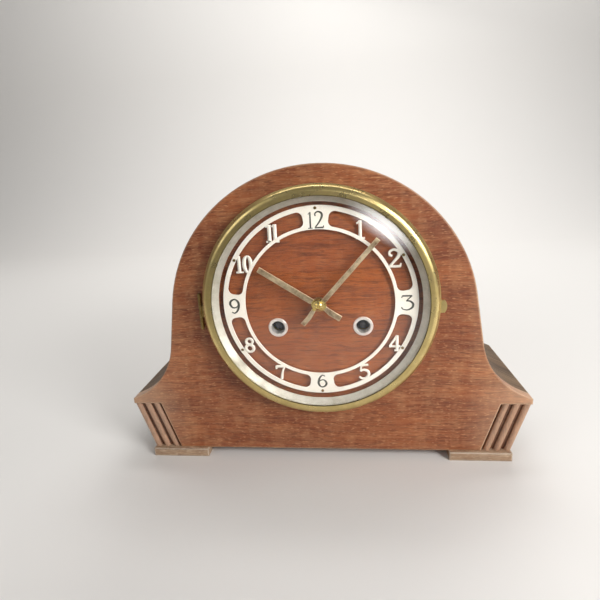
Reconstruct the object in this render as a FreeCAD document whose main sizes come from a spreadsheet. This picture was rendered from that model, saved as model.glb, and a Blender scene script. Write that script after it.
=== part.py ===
import FreeCAD, Part
import math
import os
import re
import Sketcher

# A tambour mantel clock: oak case, hinged brass bezel and an eight-day striking movement.
# Millimetres and degrees. X is to the right of the dial, Y runs from the dial to the back
# door, Z is up. The origin is on the shelf, under the middle of the whole clock.

os.makedirs("parts", exist_ok=True)
doc = FreeCAD.newDocument("MantelClock")
sheet = doc.addObject("Spreadsheet::Sheet", "Sizes")

# Driving sizes. Angles end in _angle, counts in _count and proportions in _share.
SIZES = {
    # Outline of the case, seen from the front
    "arch_radius": 112.0,
    "arch_drop": 14.8,
    "flank_angle": 9.5,
    "sweep_radius": 54.5,
    "sweep_angle": 66.8,
    "shoulder_reach": 42.2,
    "tip_height": 51.0,
    # Case boards
    "case_depth": 105.0,
    "board_thickness": 9.0,
    "wrap_thickness": 4.0,
    "base_thickness": 10.0,
    "rail_width": 10.0,
    "back_thickness": 5.0,
    "panel_gap": 0.3,
    "glue_block_side": 14.0,
    "glue_block_length": 40.0,
    "glue_block_place": 70.0,
    # Feet
    "foot_height": 6.7,
    "foot_width": 46.2,
    "end_run": 12.2,
    "foot_overhang": 3.2,
    # Reeded corner blocks
    "block_width": 22.5,
    "block_gap": 0.2,
    "inner_groove_width": 2.1,
    "reed_groove_width": 2.6,
    "reed_groove_depth": 3.2,
    "reed_recess": 0.3,
    "reed_curve_share": 0.53,
    # Back opening and its door
    "door_half_width": 62.0,
    "door_bottom": 42.0,
    "door_spring": 120.0,
    "door_gap": 0.7,
    "door_thickness": 5.0,
    "door_hinge_length": 22.0,
    "door_hinge_low": 58.0,
    "door_hinge_high": 104.0,
    "door_leaf_width": 9.0,
    "door_leaf_thickness": 1.0,
    "door_knuckle_radius": 2.0,
    "door_pin_radius": 0.9,
    "door_leaf_share": 1.5,
    "door_leaf_gap": 0.15,
    "button_offset": 6.5,
    "button_height": 90.0,
    "button_length": 26.0,
    "button_width": 9.0,
    "button_thickness": 2.5,
    "button_screw_radius": 1.6,
    "button_screw_head": 3.2,
    "button_screw_rise": 1.2,
    "button_gap": 0.2,
    # Dial furniture
    "dial_height": 128.3,
    "ring_outer": 70.0,
    "ring_inner": 53.7,
    "ring_thickness": 1.0,
    "ring_standoff": 2.0,
    "slot_outer": 66.8,
    "slot_inner": 56.0,
    "slot_corner": 4.0,
    "pad_angle": 8.2,
    "pin_radius": 0.8,
    "pin_head_share": 1.3,
    "pin_place": 68.1,
    "pin_head": 0.35,
    "winding_x": 31.2,
    "winding_drop": 18.0,
    "eyelet_radius": 5.9,
    "eyelet_bore": 5.1,
    "eyelet_flange": 7.3,
    "eyelet_flange_thickness": 0.9,
    "eyelet_length": 7.0,
    # Bezel, glass and sight ring
    "bezel_radius": 84.4,
    "bezel_gap": 0.3,
    "bezel_height": 12.0,
    "bezel_step": 0.8,
    "bezel_rise": 7.5,
    "bezel_curve": 4.2,
    "bezel_crest": 79.6,
    "bezel_bore": 76.6,
    "bezel_lip": 0.7,
    "bezel_edge_share": 0.33,
    "glass_radius": 78.0,
    "glass_thickness": 1.8,
    "glass_rise": 8.5,
    "glass_gap": 0.15,
    "sight_inner": 72.6,
    "sight_drop": 3.0,
    "sight_thickness": 0.6,
    "sight_flange": 0.9,
    "catch_reach": 4.4,
    "catch_height": 9.0,
    "catch_thickness": 2.1,
    "catch_nose_share": 0.8,
    "catch_drop": 2.3,
    "hinge_length": 27.5,
    "hinge_drop": 4.0,
    "hinge_offset": 4.3,
    "hinge_knuckle": 1.2,
    "hinge_strip_share": 0.8,
    "hinge_pin_radius": 0.55,
    "hinge_gap": 0.15,
    "hinge_leaf": 0.7,
    "hinge_rise": 1.6,
    "hinge_depth": 6.0,
    # Hands
    "hour_length": 50.0,
    "hour_tail": 18.2,
    "hour_width": 4.2,
    "hour_boss": 5.4,
    "hour_level": 6.7,
    "minute_length": 62.4,
    "minute_tail": 17.6,
    "minute_width": 3.4,
    "minute_boss": 4.6,
    "minute_level": 9.2,
    "hand_thickness": 0.9,
    "hand_tip_share": 0.94,
    "hour_angle": 303.5,
    "minute_angle": 42.0,
    "collet_radius": 3.6,
    "collet_thickness": 0.7,
    "nut_radius": 2.9,
    "nut_thickness": 1.8,
    "nut_crown_share": 0.7,
    "nut_edge_share": 0.33,
    # Movement frame
    "motion_gap": 14.0,
    "plate_thickness": 1.6,
    "plate_space": 42.0,
    "plate_half_width": 60.0,
    "plate_top": 54.0,
    "plate_bottom": 60.0,
    "plate_corner": 6.0,
    "pillar_radius": 3.4,
    "pillar_waist_share": 0.7,
    "pillar_top_x": 48.0,
    "pillar_top_z": 48.0,
    "pillar_low_x": 20.0,
    "pillar_low_z": 55.0,
    "nut_height": 2.6,
    "post_radius": 4.2,
    "rim_share": 0.86,
    "hub_share": 0.3,
    "spoke_angle": 9.0,
    # Arbors
    "pipe_gap": 0.06,
    "arbor_radius": 1.3,
    "pivot_radius": 0.9,
    "pivot_gap": 0.05,
    "fine_arbor_radius": 0.75,
    "train_arbor_radius": 0.94,
    "cannon_radius": 2.3,
    "hour_pipe_radius": 3.2,
    "dial_bore": 4.2,
    "winding_radius": 3.0,
    "square_side": 3.9,
    "square_recess": 4.5,
    # Barrels and trains
    "drum_radius": 24.0,
    "drum_length": 20.0,
    "great_thickness": 2.0,
    "wheel_thickness": 1.2,
    "train_gap": 1.0,
    "great_count": 72,
    "centre_pinion_count": 6,
    "centre_count": 72,
    "third_pinion_count": 6,
    "third_count": 72,
    "escape_pinion_count": 6,
    "centre_radius": 19.8,
    "third_radius": 16.2,
    "third_x": 13.0,
    "escape_count": 36,
    "escape_radius": 10.0,
    "escape_depth": 1.1,
    "pallet_drop": 14.0,
    "pin_wheel_pinion_count": 8,
    "pin_wheel_count": 60,
    "pin_wheel_radius": 16.5,
    "pin_wheel_x": 24.0,
    "lift_pin_count": 8,
    "lift_pin_radius": 0.7,
    "lift_pin_circle": 13.0,
    "lift_pin_length": 3.0,
    "warn_pinion_count": 6,
    "warn_count": 48,
    "warn_radius": 10.8,
    "warn_x": 38.5,
    "fly_pinion_count": 6,
    "fly_x": 29.9,
    "fly_radius": 8.0,
    "fly_length": 16.0,
    "fly_thickness": 0.5,
    # Motion work
    "cannon_count": 12,
    "minute_wheel_count": 36,
    "minute_pinion_count": 10,
    "hour_wheel_count": 40,
    "motion_drop": 14.4,
    "motion_wheel_thickness": 1.4,
    # Ratchets and clicks
    "ratchet_count": 24,
    "ratchet_radius": 9.5,
    "ratchet_depth": 1.3,
    "ratchet_thickness": 2.0,
    "ratchet_lean_share": 0.12,
    "click_offset": 11.0,
    "click_rise": 10.5,
    "click_boss": 3.0,
    "click_tail_share": 0.33,
    "click_stud_radius": 1.5,
    "click_nose": 0.25,
    "click_edge": 0.35,
    "click_shoulder": 0.4,
    # Pallets, crutch and pendulum
    "escape_lean_share": 0.35,
    "pallet_hub": 2.4,
    "pallet_gap": 0.45,
    "pallet_angle": 45.0,
    "pallet_shoulder_angle": 30.0,
    "pallet_tip_angle": 1.5,
    "pallet_root_angle": 5.5,
    "pallet_root": 3.2,
    "pallet_arm": 5.6,
    "crutch_gap": 1.0,
    "crutch_thickness": 1.2,
    "crutch_length": 34.0,
    "crutch_width": 1.8,
    "crutch_fork_gap": 0.3,
    "crutch_tongue": 1.6,
    "cock_width": 16.0,
    "cock_rise": 4.0,
    "cock_height": 7.0,
    "cock_slot": 1.5,
    "cock_wall": 3.0,
    "pendulum_offset": 8.5,
    "spring_thickness": 0.25,
    "spring_width": 4.0,
    "spring_length": 10.0,
    "spring_grip": 5.0,
    "rod_clearance": 10.65,
    "rod_radius": 0.95,
    "hook_side": 4.4,
    "hook_height": 5.0,
    "rod_tail": 24.0,
    "bob_radius": 15.0,
    "bob_half_thickness": 4.2,
    "bob_edge": 0.8,
    "rating_nut_radius": 3.4,
    "rating_nut_height": 3.0,
    # Hammer and gong
    "hammer_arbor_x": 49.0,
    "hammer_arbor_drop": 50.0,
    "hammer_reach": 35.0,
    "hammer_radius": 3.6,
    "hammer_length": 9.0,
    "hammer_head_share": 0.83,
    "hammer_wire": 0.9,
    "hammer_gap": 0.7,
    "lifter_width": 2.2,
    "lifter_drop": 3.0,
    "lifter_gap": 0.4,
    "lifter_end": 4.0,
    "gong_radius": 1.6,
    "gong_drop": 70.3,
    "gong_depth": 44.0,
    "gong_overhang": 8.0,
    "gong_block_x": 86.0,
    "gong_block_width": 14.0,
    "gong_block_depth": 20.0,
    "gong_block_top": 8.0,
    "gong_foot_width": 26.0,
    "gong_foot_height": 9.0,
}

# Sizes that follow from the driving ones
DERIVED = {
    # Where arch, flank, sweep and tip meet, on the outer face of the case
    "arch_height": "dial_height - arch_drop",
    "tip_half_width": "arch_radius + shoulder_reach",
    "foot_outer": "tip_half_width - end_run",
    "foot_inner": "foot_outer - foot_width",
    "arch_x": "arch_radius * cos(flank_angle)",
    "arch_z": "arch_height + arch_radius * sin(flank_angle)",
    "run_x": "tip_half_width - arch_x - sweep_radius * (cos(flank_angle) - cos(sweep_angle))",
    "run_z": "tip_height - arch_z + sweep_radius * (sin(sweep_angle) - sin(flank_angle))",
    "flank_length": "-(cos(sweep_angle) * run_x + sin(sweep_angle) * run_z)"
                    " / sin(sweep_angle - flank_angle)",
    "flank_x": "arch_x + flank_length * sin(flank_angle)",
    "flank_z": "arch_z - flank_length * cos(flank_angle)",
    "sweep_x": "flank_x + sweep_radius * (cos(flank_angle) - cos(sweep_angle))",
    "sweep_z": "flank_z - sweep_radius * (sin(sweep_angle) - sin(flank_angle))",
    "sweep_centre_x": "flank_x + sweep_radius * cos(flank_angle)",
    "sweep_centre_z": "flank_z + sweep_radius * sin(flank_angle)",
    "lip_height": "tip_height - wrap_thickness / sin(sweep_angle)",
    # Slope of the ends, as sideways run for each unit of height
    "end_slope": "(tip_half_width - foot_outer) / (lip_height - foot_height)",
    "block_foot_x": "foot_outer - block_width",
    "block_head_x": "tip_half_width - block_width",
    "reed_width": "(block_width - inner_groove_width - 2 * reed_groove_width) / 3",
    "reed_radius": "reed_curve_share * reed_width",
    "reed_sagitta": "reed_radius - sqrt(reed_radius ^ 2 - reed_width ^ 2 / 4)",
    "base_top": "foot_height + base_thickness",
    "rail_top_run": "rail_width / (sin(sweep_angle) + end_slope * cos(sweep_angle))",
    "rail_base_x": "foot_outer - rail_width",
    "rail_floor_x": "rail_base_x + base_thickness * end_slope",
    # Lower corner of the back board: its edge beside the rail meets the sweep there
    "back_offset": "wrap_thickness + panel_gap",
    "back_sweep": "sweep_radius + back_offset",
    "back_foot_x": "rail_floor_x - panel_gap",
    "corner_b": "end_slope * (back_foot_x - sweep_centre_x) + base_top - sweep_centre_z",
    "corner_c": "(back_foot_x - sweep_centre_x) ^ 2 + (base_top - sweep_centre_z) ^ 2"
                " - back_sweep ^ 2",
    "corner_rise": "(-corner_b - sqrt(corner_b ^ 2 - (end_slope ^ 2 + 1) * corner_c))"
                   " / (end_slope ^ 2 + 1)",
    # Levels along Y, from the front face of the case
    "glass_front": "bezel_height - bezel_lip - glass_gap * 4",
    "front_reach": "glass_front + glass_rise",
    "rear_reach": "door_leaf_gap + door_knuckle_radius * 2",
    "front_y": "(front_reach - case_depth - rear_reach) / 2",
    "board_back_y": "front_y + board_thickness",
    "plate_y": "board_back_y + motion_gap",
    "space_y": "plate_y + plate_thickness",
    "back_plate_y": "space_y + plate_space",
    "rear_y": "back_plate_y + plate_thickness",
    "case_back_y": "front_y + case_depth",
    "back_board_y": "case_back_y - back_thickness",
    "ring_y": "front_y - ring_standoff - ring_thickness",
    "winding_z": "dial_height - winding_drop",
    "hinge_x": "-bezel_radius - hinge_offset",
    "hinge_low": "dial_height - hinge_drop - hinge_length / 2",
    "hinge_high": "hinge_low + hinge_length",
    "door_hinge_x": "door_half_width - door_gap / 2",
    "door_hinge_y": "door_leaf_gap + door_knuckle_radius",
    # Train geometry: centre distances, modules and places of the arbors
    "winding_span": "sqrt(winding_x ^ 2 + winding_drop ^ 2)",
    "great_module": "2 * winding_span / (great_count + centre_pinion_count)",
    "centre_module": "2 * centre_radius / centre_count",
    "third_span": "centre_radius + centre_module * third_pinion_count / 2",
    "third_z": "sqrt(third_span ^ 2 - third_x ^ 2)",
    "third_module": "2 * third_radius / third_count",
    "escape_span": "third_radius + third_module * escape_pinion_count / 2",
    "escape_z": "third_z + sqrt(escape_span ^ 2 - third_x ^ 2)",
    "pallet_z": "escape_z + pallet_drop",
    "swing_z": "dial_height + pallet_z",
    "strike_span": "great_module * (great_count + pin_wheel_pinion_count) / 2",
    "pin_wheel_z": "sqrt(strike_span ^ 2 - (winding_x - pin_wheel_x) ^ 2) - winding_drop",
    "pin_wheel_module": "2 * pin_wheel_radius / pin_wheel_count",
    "warn_span": "pin_wheel_radius + pin_wheel_module * warn_pinion_count / 2",
    "warn_z": "pin_wheel_z + sqrt(warn_span ^ 2 - (warn_x - pin_wheel_x) ^ 2)",
    "warn_module": "2 * warn_radius / warn_count",
    "fly_span": "warn_radius + warn_module * fly_pinion_count / 2",
    "fly_z": "warn_z + sqrt(fly_span ^ 2 - (warn_x - fly_x) ^ 2)",
    "cannon_module": "2 * motion_drop / (cannon_count + minute_wheel_count)",
    "hour_module": "2 * motion_drop / (minute_pinion_count + hour_wheel_count)",
    # Levels inside the movement, from the inner face of the front plate
    "strike_great_at": "train_gap * 2.5",
    "drum_at": "strike_great_at + great_thickness",
    "going_great_at": "drum_at + drum_length",
    "escape_at": "going_great_at + great_thickness + train_gap",
    "pin_wheel_at": "escape_at + wheel_thickness + train_gap",
    "centre_at": "pin_wheel_at + wheel_thickness + train_gap / 2",
    "warn_at": "centre_at + wheel_thickness + train_gap * 1.5",
    "third_at": "warn_at + wheel_thickness + train_gap",
    # Levels of the motion work, from the front plate towards the dial
    "ratchet_y": "plate_y - train_gap / 2 - ratchet_thickness",
    "minute_wheel_y": "plate_y - train_gap - motion_wheel_thickness",
    "hour_wheel_y": "minute_wheel_y - train_gap * 2 - motion_wheel_thickness",
    # Pendulum
    "pendulum_y": "rear_y + pendulum_offset",
    "pendulum_length": "swing_z - rod_tail - base_top - rod_clearance",
    "bob_z": "swing_z - pendulum_length",
    "crutch_y": "rear_y + crutch_gap",
    # Hammer and gong, from the shelf
    "hammer_z": "dial_height - hammer_arbor_drop",
    "gong_y": "front_y + gong_depth",
    "gong_height": "dial_height - gong_drop",
    "hammer_drop": "hammer_z - gong_height - gong_radius - hammer_gap - hammer_length / 2",
    "hammer_run": "sqrt(hammer_reach ^ 2 - hammer_drop ^ 2)",
    "lifter_top": "hammer_arbor_drop + pin_wheel_z - lift_pin_circle - lift_pin_radius"
                  " - lifter_gap",
    "lifter_reach": "hammer_arbor_x - pin_wheel_x",
}


def as_bound(text):
    """Write every alias in an expression as a reference to the sheet."""
    def swap(match):
        word = match.group()
        return "Sizes." + word if word in SIZES or word in DERIVED else word
    return re.sub(r"[a-z][a-z_0-9]*", swap, str(text))


def value(text):
    """Number that an expression in aliases stands for."""
    return float(sheet.evalExpression(as_bound(text)))


def fill_sheet():
    row = 0
    for alias, number in SIZES.items():
        row += 1
        sheet.set("A%d" % row, alias)
        sheet.set("B%d" % row, str(number))
        sheet.setAlias("B%d" % row, alias)
    for alias, formula in DERIVED.items():
        row += 1
        sheet.set("A%d" % row, alias)
        sheet.set("B%d" % row, "=" + formula)
        sheet.setAlias("B%d" % row, alias)
    doc.recompute()


fill_sheet()
nodes = []


def minus(text):
    return "-(%s)" % text


def place(item, at, turn=None):
    """Bind the item's place, and its clockwise turn about the dial's axis, to the sheet."""
    axis = FreeCAD.Vector(0, 1, 0)
    angle = value(turn) if turn else 0
    spot = FreeCAD.Vector(value(at[0]), value(at[1]), value(at[2]))
    item.Placement = FreeCAD.Placement(spot, FreeCAD.Rotation(axis, angle))
    for name, text in zip("xyz", at):
        item.setExpression("Placement.Base." + name, as_bound(text))
    if turn:
        item.setExpression("Placement.Rotation.Angle", as_bound(turn))


def new_body(label, at=("0", "0", "0"), turn=None):
    body = doc.addObject("PartDesign::Body", label)
    body.Label = label
    body.AllowCompound = True
    place(body, at, turn)
    nodes.append(body)
    return body


def segment_between(start, end, radius, turn):
    """Straight edge, or the arc shorter than a half circle that turns the given way."""
    a = FreeCAD.Vector(start[0], start[1], 0)
    b = FreeCAD.Vector(end[0], end[1], 0)
    if not radius:
        return Part.LineSegment(a, b)
    chord = b - a
    half = chord.Length / 2
    rise = math.sqrt(max(radius * radius - half * half, 0))
    normal = FreeCAD.Vector(-chord.y, chord.x, 0)
    normal.normalize()
    centre = (a + b) * 0.5 + normal * (rise * turn)
    first = math.atan2(a.y - centre.y, a.x - centre.x)
    last = math.atan2(b.y - centre.y, b.x - centre.x)
    circle = Part.Circle(centre, FreeCAD.Vector(0, 0, 1), radius)
    if turn < 0:
        first, last = last, first
    return Part.ArcOfCircle(circle, first, last)


def add_loop(sketch, corners):
    """Closed loop of corners (x, y) or (x, y, radius, turn), where an arc leaves the corner."""
    spots = [(value(c[0]), value(c[1])) for c in corners]
    first = sketch.GeometryCount
    count = len(corners)
    ends = []
    for i, corner in enumerate(corners):
        arc = corner[2:] if len(corner) > 2 else (None, 1)
        radius = value(arc[0]) if arc[0] else None
        edge = segment_between(spots[i], spots[(i + 1) % count], radius, arc[1])
        sketch.addGeometry(edge, False)
        ends.append((1, 2) if arc[1] > 0 else (2, 1))
    for i in range(count):
        after = (i + 1) % count
        joint = (first + i, ends[i][1], first + after, ends[after][0])
        sketch.addConstraint(Sketcher.Constraint("Coincident", *joint))
    for i, corner in enumerate(corners):
        for kind, axis in (("DistanceX", 0), ("DistanceY", 1)):
            rule = Sketcher.Constraint(kind, -1, 1, first + i, ends[i][0], spots[i][axis])
            index = sketch.addConstraint(rule)
            sketch.setExpression("Constraints[%d]" % index, as_bound(corner[axis]))
        if len(corner) > 2:
            rule = Sketcher.Constraint("Radius", first + i, value(corner[2]))
            index = sketch.addConstraint(rule)
            sketch.setExpression("Constraints[%d]" % index, as_bound(corner[2]))


def add_circle(sketch, x, y, radius):
    centre = FreeCAD.Vector(value(x), value(y), 0)
    circle = Part.Circle(centre, FreeCAD.Vector(0, 0, 1), value(radius))
    index = sketch.addGeometry(circle, False)
    for kind, text in (("DistanceX", x), ("DistanceY", y)):
        rule = Sketcher.Constraint(kind, -1, 1, index, 3, value(text))
        number = sketch.addConstraint(rule)
        sketch.setExpression("Constraints[%d]" % number, as_bound(text))
    number = sketch.addConstraint(Sketcher.Constraint("Radius", index, value(radius)))
    sketch.setExpression("Constraints[%d]" % number, as_bound(radius))


def new_sketch(body, name, plane, loops=(), circles=(), level="0"):
    """Sketch on one of the body's own planes, set off along that plane's normal."""
    sketch = body.newObject("Sketcher::SketchObject", body.Label + "_" + name)
    origin = [f for f in body.Origin.OriginFeatures if f.Role == plane][0]
    sketch.AttachmentSupport = [(origin, "")]
    sketch.MapMode = "FlatFace"
    if level != "0":
        sketch.setExpression("AttachmentOffset.Base.z", as_bound(level))
    for loop in loops:
        add_loop(sketch, loop)
    for circle in circles:
        add_circle(sketch, *circle)
    return sketch


def pad(body, name, length, loops=(), circles=(), level="0", plane="XZ_Plane", back=True):
    """Pad a sketch; in the XZ plane it grows towards the back of the clock."""
    shift = minus(level) if plane == "XZ_Plane" and level != "0" else level
    sketch = new_sketch(body, name + "_sketch", plane, loops, circles, shift)
    feature = body.newObject("PartDesign::Pad", body.Label + "_" + name)
    feature.Profile = sketch
    feature.setExpression("Length", as_bound(length))
    feature.Reversed = back
    doc.recompute()
    return feature


def pocket(body, name, length, loops=(), circles=(), level="0", plane="XZ_Plane"):
    """Cut from a level towards the back of the clock, or down; make sure that it cuts."""
    before = body.Shape.Volume
    shift = minus(level) if plane == "XZ_Plane" and level != "0" else level
    sketch = new_sketch(body, name + "_sketch", plane, loops, circles, shift)
    feature = body.newObject("PartDesign::Pocket", body.Label + "_" + name)
    feature.Profile = sketch
    feature.setExpression("Length", as_bound(length))
    feature.Reversed = False
    doc.recompute()
    if feature.Shape.isNull() or feature.Shape.Volume >= before:
        raise RuntimeError(body.Label + ": " + name + " cuts nothing")
    return feature


def turned(body, name, corners, plane="XY_Plane"):
    """Turn a profile of (radius, level) corners about the dial's axis, or about Z."""
    sketch = new_sketch(body, name + "_sketch", plane, [corners])
    feature = body.newObject("PartDesign::Revolution", body.Label + "_" + name)
    feature.Profile = sketch
    feature.ReferenceAxis = (sketch, ["V_Axis"])
    feature.Angle = 360
    doc.recompute()
    return feature


def rectangle(left, low, right, high):
    return [(left, low), (right, low), (right, high), (left, high)]


def mirrored(corners):
    """The same loop on the other side of the clock."""
    flipped = []
    count = len(corners)
    for i in range(count - 1, -1, -1):
        into = corners[(i - 1) % count]
        flipped.append((minus(corners[i][0]), corners[i][1]) + tuple(into[2:]))
    return flipped


def both_sides(right_half):
    """Closed loop from its right half, listed from the bottom to the top."""
    loop = list(right_half)
    for i in range(len(right_half) - 1, -1, -1):
        into = right_half[i - 1] if i else ()
        loop.append((minus(right_half[i][0]), right_half[i][1]) + tuple(into[2:]))
    return loop


# Case

def outer_path():
    """Right half of the case's outer face, from the tip to the arch."""
    return [
        ("tip_half_width", "lip_height"),
        ("tip_half_width", "tip_height"),
        ("sweep_x", "sweep_z", "sweep_radius", -1),
        ("flank_x", "flank_z"),
        ("arch_x", "arch_z", "arch_radius", 1),
    ]


def front_board():
    body = new_body("front_board", ("0", "front_y", "0"))
    half = [
        ("block_foot_x", "foot_height"),
        ("block_head_x", "lip_height"),
    ]
    winding = [(side + "winding_x", "winding_z", "eyelet_radius") for side in ("", "-")]
    bore = [("0", "dial_height", "dial_bore")]
    loops = [both_sides(half + outer_path())]
    pad(body, "board", "board_thickness", loops, winding + bore)
    slot = rectangle("hinge_x - hinge_leaf / 2 - hinge_gap", "hinge_low - hinge_gap",
                     "hinge_x + hinge_leaf / 2 + hinge_gap", "hinge_high + hinge_gap")
    pocket(body, "hinge_slot", "hinge_depth + hinge_gap", [slot])


def case_wrap():
    body = new_body("case_wrap", ("0", "board_back_y", "0"))
    inner_sweep = "sweep_radius + wrap_thickness"
    outer = outer_path()
    inner = [
        ("sweep_x - wrap_thickness * cos(sweep_angle)",
         "sweep_z - wrap_thickness * sin(sweep_angle)"),
        ("flank_x - wrap_thickness * cos(flank_angle)",
         "flank_z - wrap_thickness * sin(flank_angle)"),
        ("arch_x - wrap_thickness * cos(flank_angle)",
         "arch_z - wrap_thickness * sin(flank_angle)"),
    ]
    over = list(outer)
    for i in range(len(outer) - 1, -1, -1):
        into = outer[i - 1] if i else ()
        over.append((minus(outer[i][0]), outer[i][1]) + tuple(into[2:]))
    under = [
        (minus(inner[0][0]), inner[0][1], inner_sweep, 1),
        (minus(inner[1][0]), inner[1][1]),
        (minus(inner[2][0]), inner[2][1], "arch_radius - wrap_thickness", -1),
        inner[2],
        inner[1] + (inner_sweep, 1),
        inner[0],
    ]
    pad(body, "shell", "case_depth - board_thickness", [over + under])


def end_rails():
    body = new_body("end_rails", ("0", "board_back_y", "0"))
    right = [
        ("rail_base_x", "foot_height"),
        ("foot_outer", "foot_height"),
        ("tip_half_width", "lip_height"),
        ("tip_half_width - rail_top_run * sin(sweep_angle)",
         "lip_height + rail_top_run * cos(sweep_angle)"),
    ]
    pad(body, "rails", "case_depth - board_thickness", [right, mirrored(right)])


def base_board():
    body = new_body("base_board", ("0", "board_back_y", "0"))
    half = [("rail_base_x", "foot_height"), ("rail_floor_x", "base_top")]
    pad(body, "board", "case_depth - board_thickness", [both_sides(half)])


def door_outline(gap):
    """Round-headed outline of the back opening, drawn in by a gap."""
    half = [
        ("door_half_width - " + gap, "door_bottom + " + gap),
        ("door_half_width - " + gap, "door_spring", "door_half_width - " + gap, 1),
    ]
    head = ("0", "door_spring + door_half_width - " + gap, "door_half_width - " + gap, 1)
    loop = half + [head]
    loop.append((minus(half[1][0]), "door_spring"))
    loop.append((minus(half[0][0]), half[0][1]))
    return loop


def back_board():
    body = new_body("back_board", ("0", "back_board_y", "0"))
    half = [
        ("back_foot_x", "base_top + panel_gap"),
        ("back_foot_x + end_slope * corner_rise", "base_top + corner_rise", "back_sweep", -1),
        ("flank_x - back_offset * cos(flank_angle)",
         "flank_z - back_offset * sin(flank_angle)"),
        ("arch_x - back_offset * cos(flank_angle)",
         "arch_z - back_offset * sin(flank_angle)", "arch_radius - back_offset", 1),
    ]
    screw = ("-(door_half_width + button_offset)", "button_height",
             "button_screw_radius + pivot_gap")
    pad(body, "board", "back_thickness", [both_sides(half), door_outline("0")], [screw])


def back_door():
    body = new_body("back_door", ("0", "case_back_y - door_thickness", "0"))
    pad(body, "panel", "door_thickness", [door_outline("door_gap")])


def upright(body, name, low, length, centre, outer, bore=None):
    """Upright tube or pin of a hinge, standing at a named centre (x, y)."""
    circles = [(centre[0], centre[1], outer)]
    if bore:
        circles.append((centre[0], centre[1], bore))
    pad(body, name, length, circles=circles, level=low, plane="XY_Plane", back=False)


def door_hinges():
    """Two butt hinges: leaves with pins on the back board, leaves that swing with the door."""
    centre = ("door_hinge_x", "door_hinge_y")
    third = "door_hinge_length / 3"
    bore = "door_pin_radius + pivot_gap"
    fixed = new_body("door_hinge_frames", ("0", "case_back_y", "0"))
    swing = new_body("door_hinge_leaves", ("0", "case_back_y", "0"))
    clear = "door_knuckle_radius + door_leaf_gap"
    for at in ("low", "high"):
        base = "door_hinge_" + at
        for i, start in enumerate((base, base + " + 2 * " + third)):
            leaf = rectangle("door_hinge_x + door_pin_radius * door_leaf_share", start,
                             "door_hinge_x + door_leaf_width", start + " + " + third)
            pad(fixed, "%s_leaf_%d" % (at, i), "door_leaf_thickness", [leaf])
            upright(fixed, "%s_tube_%d" % (at, i), start, third, centre, "door_knuckle_radius")
        tie = rectangle("door_hinge_x + " + clear, base,
                        "door_hinge_x + door_leaf_width", base + " + door_hinge_length")
        pad(fixed, at + "_tie", "door_leaf_thickness", [tie])
        upright(fixed, at + "_pin", base, "door_hinge_length", centre, "door_pin_radius")
        start = base + " + " + third + " + door_leaf_gap"
        length = third + " - 2 * door_leaf_gap"
        upright(swing, at + "_tube", start, length, centre, "door_knuckle_radius", bore)
        leaf = rectangle("door_hinge_x - door_leaf_width", start,
                         "door_hinge_x - " + bore, start + " + " + length)
        pad(swing, at + "_leaf", "door_leaf_thickness", [leaf])
        tie = rectangle("door_hinge_x - door_leaf_width", base,
                        "door_hinge_x - " + clear, base + " + door_hinge_length")
        pad(swing, at + "_tie", "door_leaf_thickness", [tie])


def turn_button():
    """Wooden turn button that locks the door when it is turned across its edge."""
    spot = ("-(door_half_width + button_offset)", "case_back_y + button_gap", "button_height")
    body = new_body("turn_button", spot)
    straight = "button_length / 2 - button_width / 2"
    loop = [
        ("button_width / 2", minus(straight)),
        ("button_width / 2", straight, "button_width / 2", 1),
        ("0", "button_length / 2", "button_width / 2", 1),
        ("-button_width / 2", straight),
        ("-button_width / 2", minus(straight), "button_width / 2", 1),
        ("0", "-button_length / 2", "button_width / 2", 1),
    ]
    pad(body, "blade", "button_thickness", [loop],
        [("0", "0", "button_screw_radius + pivot_gap")])
    screw = new_body("turn_button_screw", (spot[0], "case_back_y", spot[2]))
    turned(screw, "shank", [
        ("0", "-back_thickness"),
        ("button_screw_radius", "-back_thickness"),
        ("button_screw_radius", "button_thickness + 2 * button_gap"),
        ("button_screw_head", "button_thickness + 2 * button_gap"),
        ("button_screw_head * hub_share", "button_thickness + button_gap + button_screw_rise"),
        ("0", "button_thickness + button_gap + button_screw_rise"),
    ])


def glue_blocks():
    body = new_body("glue_blocks", ("0", "board_back_y", "base_top"))
    low = "glue_block_place - glue_block_length / 2"
    high = "glue_block_place + glue_block_length / 2"
    right = rectangle(low, "0", high, "glue_block_side")
    pad(body, "blocks", "glue_block_side", [right, mirrored(right)])


def foot(label, side):
    body = new_body(label, ("0", "front_y - foot_overhang", "0"))
    loop = rectangle("foot_inner", "0", "foot_outer", "foot_height")
    if side < 0:
        loop = mirrored(loop)
    pad(body, "runner", "case_depth + foot_overhang", [loop])


def reeded_block(label, side):
    """Corner block whose level section, with three round reeds, runs up the slanted end."""
    body = new_body(label, ("0", "front_y", "0"))
    crest = "reed_recess + reed_sagitta"
    x = "block_foot_x + inner_groove_width"
    corners = [
        ("foot_outer", "board_thickness"),
        ("block_foot_x + block_gap", "board_thickness"),
        ("block_foot_x + block_gap", "reed_groove_depth"),
        (x, "reed_groove_depth"),
    ]
    for i in range(3):
        corners.append((x, crest, "reed_radius", 1))
        x += " + reed_width"
        corners.append((x, crest))
        if i < 2:
            corners.append((x, "reed_groove_depth"))
            x += " + reed_groove_width"
            corners.append((x, "reed_groove_depth"))
    if side < 0:
        corners = mirrored(corners)
    feature = pad(body, "reeds", "lip_height - block_gap - foot_height", [corners],
                  level="foot_height", plane="XY_Plane", back=False)
    feature.UseCustomVector = True
    feature.AlongSketchNormal = True
    feature.Direction = FreeCAD.Vector(side * value("end_slope"), 0, 1)
    feature.setExpression("Direction.x", as_bound("end_slope" if side > 0 else "-end_slope"))


# Dial

def polar(radius, angle):
    return "(%s) * cos(%s)" % (radius, angle), "(%s) * sin(%s)" % (radius, angle)


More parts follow.
